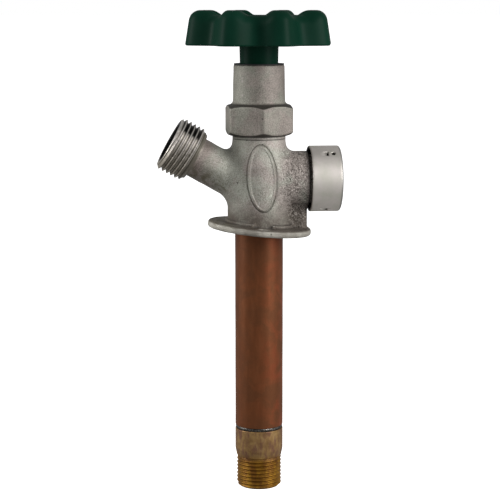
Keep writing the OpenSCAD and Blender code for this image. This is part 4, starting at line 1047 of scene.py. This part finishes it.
# Handle
def make_handle():
    """Lobed handle: one section of sleeve, ribbed web, rim, round crown and dish. Round the turn its radius
    follows a cosine, and its top follows the same cosine, steepened and cut off flat on the lobes."""
    turns = around(480)
    share = 0.5 - 0.5 * np.cos(LOBES * (turns - HANDLE_CLOCK))
    base_r = HANDLE_R - VALLEY_DEPTH * (1 - share)
    top_z = HANDLE_HIGH[2] - CROWN_LOWER - VALLEY_DROP * (1 - smooth_step(share, *LOBE_SHOULDER))
    crown_z = top_z - CROWN_R
    crown_r = base_r - (crown_z - RIM_Z) * np.tan(HANDLE_DRAFT) - CROWN_R
    flat_r, inner_z = crown_r - CROWN_FLAT, top_z - CROWN_INNER_R
    lip, rim_wall, rim_fillet = 0.8, 3.4, 4.8
    sleeve_end, sleeve_top, bore, recess_r = 17.7 / 2, 18.5 / 2, 6.55, 9.5
    sleeve_z = HANDLE_LOW[2]
    floor_z = node_box("handle_insert")[1][2]
    dish_z, under_z = floor_z + 1.0, floor_z - 3.2
    rib_z = under_z - 3.0 * share ** 3
    rib_drop = np.minimum(rim_fillet / 2, rib_z - RIM_Z - 1.0)
    inner_r = base_r - rim_wall
    rows = [(bore, sleeve_z), (sleeve_end - lip, sleeve_z)]
    rows += [(sleeve_end - lip + lip * np.sin(t), sleeve_z + lip - lip * np.cos(t))
             for t in np.linspace(0.2, np.pi / 2, 5)]
    rows += [(sleeve_top, RIM_Z), (sleeve_top, under_z - 4.8),
             (sleeve_top + 0.5, rib_z - 0.5), (sleeve_top + 1.6, rib_z)]
    rows += [(inner_r - rim_fillet + (rim_fillet - 0.4) * np.sin(t), rib_z - rib_drop * (1 - np.cos(t)))
             for t in np.linspace(0, np.pi / 2, 8)]
    rows += [(inner_r, RIM_Z + 0.5), (inner_r + 0.3, RIM_Z)]
    rows += [(base_r - lip + lip * np.sin(t), RIM_Z + lip - lip * np.cos(t))
             for t in np.linspace(0, np.pi / 2, 6)]
    side = np.linspace(0.05, 0.95, 12)
    foot = (base_r, RIM_Z + lip)
    brow = (crown_r + CROWN_R * np.cos(HANDLE_DRAFT), crown_z + CROWN_R * np.sin(HANDLE_DRAFT))
    rows += [(foot[0] + (brow[0] - foot[0]) * s, foot[1] + (brow[1] - foot[1]) * s) for s in side]
    rows += [(crown_r + CROWN_R * np.cos(t), crown_z + CROWN_R * np.sin(t))
             for t in np.linspace(HANDLE_DRAFT, np.pi / 2, 18)]
    rows += [(crown_r - CROWN_FLAT * s, top_z) for s in (0.25, 0.5, 0.75)]
    rows += [(flat_r - CROWN_INNER_R * np.sin(t), inner_z + CROWN_INNER_R * np.cos(t))
             for t in np.linspace(0, np.pi / 2, 14)]
    rows += [(flat_r - CROWN_INNER_R - (DISH_SLOPE - CROWN_INNER_R) * s,
              inner_z + (dish_z - inner_z) * smooth_step(s, 0, 1)) for s in np.linspace(0.1, 1, 12)]
    rows += [(recess_r + lip, dish_z), (recess_r + 0.2, dish_z - 0.2),
             (recess_r, dish_z - lip), (recess_r, floor_z), (bore, floor_z)]
    radius, height = (np.stack([np.broadcast_to(row[i], turns.shape) for row in rows]) for i in (0, 1))
    piece = grid_mesh("handle", turned(radius, height, turns))
    dress(piece, "stem_and_handle", "green_handle", FINISHES["green_handle"], "handle_wheel")


make_handle()


# Stage
def make_stage():
    """Pale floor under the inlet end and a dim studio round the object, both white to the camera."""
    size, foot = 40000.0, ADAPTER_LOW[2]
    corner = np.array([[-size, -size, foot], [size, -size, foot], [-size, size, foot], [size, size, foot]])
    floor = grid_mesh("floor", corner.reshape(2, 2, 3), wrap=(False, False))
    paper = bpy.data.materials.new("pale_floor")
    paper.use_nodes = True
    sheet = paper.node_tree.nodes["Principled BSDF"].inputs
    sheet["Base Color"].default_value = (0.9, 0.9, 0.9, 1)
    sheet["Roughness"].default_value = 0.9
    sheet["Emission Color"].default_value = (1, 1, 1, 1)
    sheet["Emission Strength"].default_value = 1.0
    floor.data.materials.append(paper)
    floor.visible_diffuse = floor.visible_glossy = False

    scene = bpy.context.scene
    scene.view_settings.view_transform = "Standard"
    world = bpy.data.worlds.new("studio")
    world.use_nodes = True
    tree = world.node_tree
    room = tree.nodes["Background"]
    room.inputs["Strength"].default_value = 0.33
    room.inputs["Color"].default_value = (1, 1, 1, 1)
    paper_white = tree.nodes.new("ShaderNodeBackground")
    paper_white.inputs["Color"].default_value = (1, 1, 1, 1)
    ray = tree.nodes.new("ShaderNodeLightPath")
    mix = tree.nodes.new("ShaderNodeMixShader")
    tree.links.new(ray.outputs["Is Camera Ray"], mix.inputs[0])
    tree.links.new(room.outputs[0], mix.inputs[1])
    tree.links.new(paper_white.outputs[0], mix.inputs[2])
    tree.links.new(mix.outputs[0], tree.nodes["World Output"].inputs["Surface"])
    scene.world = world


def add_light(name, place, size, power):
    """Soft oblong light at a place in millimetres, its width and height in millimetres, aimed at the
    casting."""
    light = bpy.data.lights.new(name, "AREA")
    light.shape = "RECTANGLE"
    light.size, light.size_y = size[0] * MM, size[1] * MM
    light.energy = power
    lamp = bpy.data.objects.new(name, light)
    bpy.context.scene.collection.objects.link(lamp)
    lamp.location = [v * MM for v in place]
    aim = Vector((0, 0, 0.01)) - lamp.location
    lamp.rotation_euler = aim.to_track_quat("-Z", "Y").to_euler()


def add_camera():
    """Lens a little to the left of the front and above it, aimed at the origin, with the frame shifted
    so that the origin lies where the photograph shows it."""
    frame_px, origin_px, focal_px = 500, (259, 230.5), 1591.4
    azimuth, elevation, distance = np.radians(-6), np.radians(8), 760.0
    camera = bpy.data.cameras.new("camera")
    camera.sensor_width = 36
    camera.lens = camera.sensor_width * focal_px / frame_px
    camera.shift_x = (frame_px / 2 - origin_px[0]) / frame_px
    camera.shift_y = (origin_px[1] - frame_px / 2) / frame_px
    holder = bpy.data.objects.new("camera", camera)
    bpy.context.scene.collection.objects.link(holder)
    level = np.cos(elevation)
    aim = Vector((level * np.sin(azimuth), -level * np.cos(azimuth), np.sin(elevation)))
    holder.location = aim * distance * MM
    holder.rotation_euler = (-aim).to_track_quat("-Z", "Y").to_euler()
    bpy.context.scene.camera = holder


make_stage()
add_light("key", (760, -560, 300), (500, 650), 10.5)
add_light("left", (-900, 40, 300), (250, 650), 7)
add_camera()
